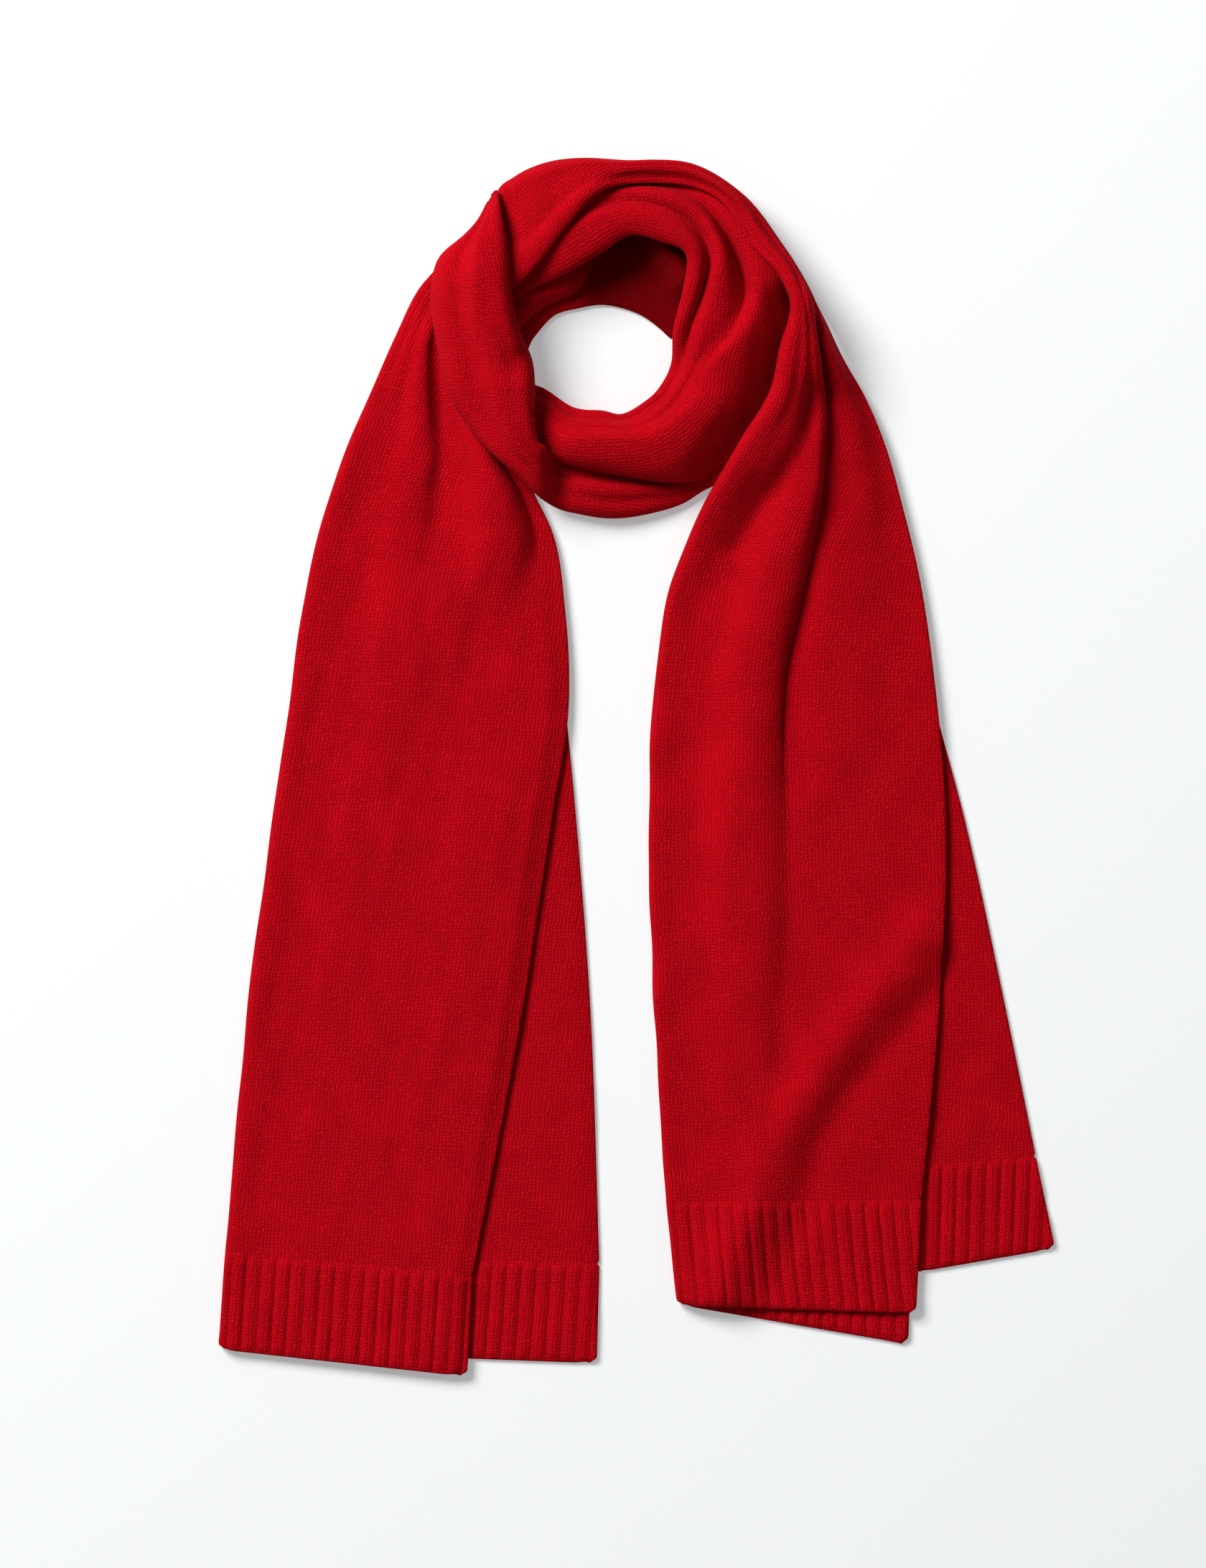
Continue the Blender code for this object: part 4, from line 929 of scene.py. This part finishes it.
def knit_finish(name, painted_shade_from=None):
    """Knit in red yarn. Its last argument: distance along, in metres, past which the colour is darkened as
    painted shade.
    """
    material = bpy.data.materials.new(name)
    material.use_nodes = True
    tree = material.node_tree
    shader = tree.nodes["Principled BSDF"]
    make = Wire(tree).node
    place = make("ShaderNodeUVMap", {"uv_map": DISTANCES}, {})
    across, along = (make("ShaderNodeSeparateXYZ", {}, {0: place}, k) for k in (0, 1))
    spot = make("ShaderNodeTexCoord", {}, {}, "Object")

    def grain(scale, detail):
        return make("ShaderNodeTexNoise", {}, {"Vector": spot, "Scale": scale, "Detail": detail})

    felt = grain(1100.0, 3.0)    # single fibres, about a millimetre apart
    fluff = grain(420.0, 2.0)    # tufts as wide as a stitch
    cloud = grain(60.0, 2.0)     # how clearly the stitches stand out
    patch = ((grain(34.0, 1.0) - PATCH_LEVEL) * PATCH_EDGE).clipped()
    columns = across / WALE + (grain(250.0, 1.0) - 0.5) * STRAY_ACROSS
    side = (columns.fraction() - 0.5).size() * 2
    courses = along / COURSE + side * SLANT + (grain(290.0, 1.0) - 0.5) * STRAY_ALONG
    loop = (courses.fraction() - 0.5).size() * 2
    wale = 1 - side ** 2
    stitch = 1 - loop ** 2
    knitted = wale * (stitch * (1 - patch * PATCH_BLUR) + patch * PATCH_RISE)
    height = knitted * (cloud * KNIT_MORE + KNIT_LEAST) + felt * FELT_HEIGHT + fluff * FLUFF_HEIGHT
    # The stitches' part of the colour is painted shade, deeper in their hollows. Felt, fluff and cloud add
    # random tone.
    shade = knitted * KNIT_PAINTED_SHADE + felt * FELT_SHADE + fluff * FLUFF_SHADE + cloud * CLOUD_SHADE
    shade = shade - SHADE_LESS
    # Painted shade: past the given distance along, the colour is made darker.
    if painted_shade_from is not None:
        shade = shade - ((along - painted_shade_from) * PAINTED_SHADE_FADE).clipped() * PAINTED_SHADE_DEEPER
    colour = make("ShaderNodeMix", {"data_type": "RGBA"}, {0: shade, 6: RED_DEEP, 7: RED_FULL}, 2)
    bump = make("ShaderNodeBump", {}, {"Strength": 1.0, "Distance": STITCH_DEPTH, "Height": height})
    tree.links.new(colour.socket, shader.inputs["Base Color"])
    tree.links.new(bump.socket, shader.inputs["Normal"])
    shader.inputs["Roughness"].default_value = 0.92
    shader.inputs["Specular IOR Level"].default_value = 0.02
    shader.inputs["Sheen Weight"].default_value = 0.08
    shader.inputs["Sheen Roughness"].default_value = 0.45
    shader.inputs["Sheen Tint"].default_value = SHEEN_RED
    print(f"{name}: {len(tree.nodes)} nodes, wales of {WALE / MM:.2f} mm, courses of {COURSE / MM:.1f} mm")
    return material


plain_knit = knit_finish("plain knit in red yarn")
rib_knit = knit_finish("ribbed knit in red yarn")
# This finish darkens the hidden layers from 60 mm along on, as painted shade for the pocket under the
# wraps.
painted_shade_knit = knit_finish("plain knit with painted shade inside the opening", painted_shade_from=0.060)

# %% [markdown]
# ## Laying the scarf
# The pieces are made from the table upwards, as the scarf was laid. They could be raised
# all at once, but each one can only lie on what is there already, so the order matters.
# The hidden layers, the back of the right tail and the left tail come first, because
# nothing but the table is under them.

# %% What a finished piece stands for
def finish_piece(piece, node):
    """Hang the piece under the root body and hide the solid that it stands for."""
    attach(piece, "root")
    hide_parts(node)


# %% Hidden layers
hidden = loft(HIDDEN_LAYERS, seed=1, uneven=0.3)
hidden_tree = ray_tree(hidden)
# The hidden layers get the finish with painted shade inside the opening.
hidden_piece = closed_wall("hidden_layers_cloth", hidden, painted_shade_knit)
finish_piece(hidden_piece, "hidden_layers")

# %% Back of the right tail
right_back = loft(RIGHT_TAIL_BACK, seed=2, uneven=0.3)
right_back_piece = closed_wall("right_tail_back_cloth", right_back, plain_knit, ("last",))
finish_piece(right_back_piece, "right_tail_back")

# %% Left tail
left_tail = loft(LEFT_TAIL, seed=3, uneven=0.25)
left_tail_tree = ray_tree(left_tail)
left_tail_piece = closed_wall("left_tail_cloth", left_tail, plain_knit, ("last",))
finish_piece(left_tail_piece, "left_tail")

# %% [markdown]
# The three stretches of the loop come next. Each is one long gathered or folded band of
# plain knit, and each is raised onto those below it. The left turn comes last: its peak
# lies on top of the second wrap, while its lower end stays tucked under.

# %% First wrap
first_wrap = laid_on(loft(FIRST_WRAP, seed=4, uneven=0.35), [hidden_tree])
first_wrap_tree = ray_tree(first_wrap)
first_wrap_piece = closed_wall("first_wrap_cloth", first_wrap, plain_knit)
finish_piece(first_wrap_piece, "first_wrap")

# %% Second wrap and right tail
second_wrap = laid_on(loft(SECOND_WRAP, seed=5, uneven=0.3), [hidden_tree, first_wrap_tree])
second_wrap_tree = ray_tree(second_wrap)
second_wrap_piece = closed_wall("second_wrap_cloth", second_wrap, plain_knit, ("last",))
finish_piece(second_wrap_piece, "second_wrap")


# %% Left turn
left_turn = laid_on(loft(LEFT_TURN, seed=6, uneven=0.15),
                    [hidden_tree, left_tail_tree, second_wrap_tree], TUCK)
left_turn_piece = closed_wall("left_turn_cloth", left_turn, plain_knit)
finish_piece(left_turn_piece, "left_turn")

# %% [markdown]
# The welts close both ends. They are lofted like the tails, but in finer cells, because
# a rib and its furrow are only four wales wide. Then the tree raises their ribs.

# %% Welts
WELT_CELL = 1.0          # across a welt, on the front and on the layer under it
WELT_ROW = 1.6           # along it


def make_welt(name, stretch, seed, turned, node):
    """A welt with its ribs. turned: whether its layer is folded under the start edge."""
    cloth = loft(stretch, seed, uneven=0.2, cell=WELT_CELL, row=WELT_ROW, under_cell=WELT_CELL)
    fold = int(np.argmin(np.abs(cloth.across[-1])))
    cloth = rounded_corners(cloth, fold)
    piece = closed_wall(name, cloth, rib_knit, ("first",))
    number_ribs(piece, cloth, fold if turned else -1)
    ribbed(piece, ribs, rib_knit)
    finish_piece(piece, node)


make_welt("left_welt_cloth", LEFT_WELT, 7, True, "left_welt")
make_welt("right_welt_cloth", RIGHT_WELT, 8, True, "right_welt")
make_welt("right_back_welt_cloth", RIGHT_BACK_WELT, 9, False, "right_back_welt")

# %% [markdown]
# ## Table
# The scarf lies on a plain white table. An empty white world behind it would show no
# shadows, so the table is a large square with a matt paint that also glows a little.

# %% Table
TABLE_HALF = 6           # metres from its middle to its edges
TABLE_TOP = -0.0004      # just below the cloth, in metres

table_mesh = bpy.data.meshes.new("table")
corners = [(x * TABLE_HALF, y * TABLE_HALF, TABLE_TOP) for x, y in ((-1, -1), (1, -1), (1, 1), (-1, 1))]
table_mesh.from_pydata(corners, [], [(0, 1, 2, 3)])
table = bpy.data.objects.new("table", table_mesh)
bpy.context.scene.collection.objects.link(table)
white = bpy.data.materials.new("white table")
white.use_nodes = True
paint = white.node_tree.nodes["Principled BSDF"]
paint.inputs["Base Color"].default_value = (0.60, 0.60, 0.60, 1)
paint.inputs["Roughness"].default_value = 1.0
paint.inputs["Specular IOR Level"].default_value = 0.0
paint.inputs["Emission Color"].default_value = (0.94, 0.99, 1.0, 1)
paint.inputs["Emission Strength"].default_value = 0.30
table_mesh.materials.append(white)
table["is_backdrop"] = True
print(f"table: {2 * TABLE_HALF} m square")

# %% [markdown]
# ## Light
# The light is a large round window at the upper left, with a pale room round it. A Sun
# lamp would draw hard shadows, while a window of this size keeps those of the folds soft.

# %% Light
world = bpy.data.worlds.new("studio")
bpy.context.scene.world = world
world.use_nodes = True
world.node_tree.nodes["Background"].inputs["Color"].default_value = (0.96, 0.99, 1.0, 1)
world.node_tree.nodes["Background"].inputs["Strength"].default_value = 0.22

lamp = bpy.data.lights.new("window", "AREA")
lamp.shape = "DISK"
lamp.size = 2.4
lamp.energy = 384.0
window = bpy.data.objects.new("window", lamp)
window.location = (-2.72, 2.8, 3.12)
window.rotation_euler = (-Vector(window.location)).to_track_quat("-Z", "Y").to_euler()
bpy.context.scene.collection.objects.link(window)
print(f"window: {lamp.size:.1f} m wide, {window.location.length:.2f} m from the scarf")

# %% [markdown]
# ## Camera
# The camera looks straight down. Close by, it would make the high folds of the loop
# larger than the tails, so it stands six metres up and looks through a long lens.

# %% Camera
SENSOR = 36.0            # millimetres, the longer side of the camera's sensor
DISTANCE = 6.0           # metres from the camera down to the level that it is framed for
FRAMED_LEVEL = 0.02      # height of that level, half way up the folds
SEEN_LENGTH = 0.8736     # metres there that the longer side sees
MIDDLE = (-0.0182, -0.0094)

lens = bpy.data.cameras.new("camera")
lens.sensor_width = SENSOR
lens.sensor_fit = "AUTO"
lens.lens = SENSOR * DISTANCE / SEEN_LENGTH
lens.clip_end = 50.0
camera = bpy.data.objects.new("camera", lens)
camera.location = MIDDLE + (DISTANCE + FRAMED_LEVEL,)
bpy.context.scene.collection.objects.link(camera)
bpy.context.scene.camera = camera
bpy.context.scene.view_settings.view_transform = "Standard"
print(f"camera: lens of {lens.lens:.1f} mm, {camera.location.z:.2f} m up")

# %% [markdown]
# ## Sizes
# At last the box round the cloth is measured, which has to agree with the box round the solids. A
# ruler in the viewport would do for one look, but both boxes are printed, so that they can be compared
# again after every change.

# %% Sizes and finish
seen_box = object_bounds()
for name, (low, high) in (("solids", cad_box), ("cloth", seen_box)):
    print(f"box of the {name}:", " x ".join(f"{side / MM:.1f}" for side in high - low), "mm")
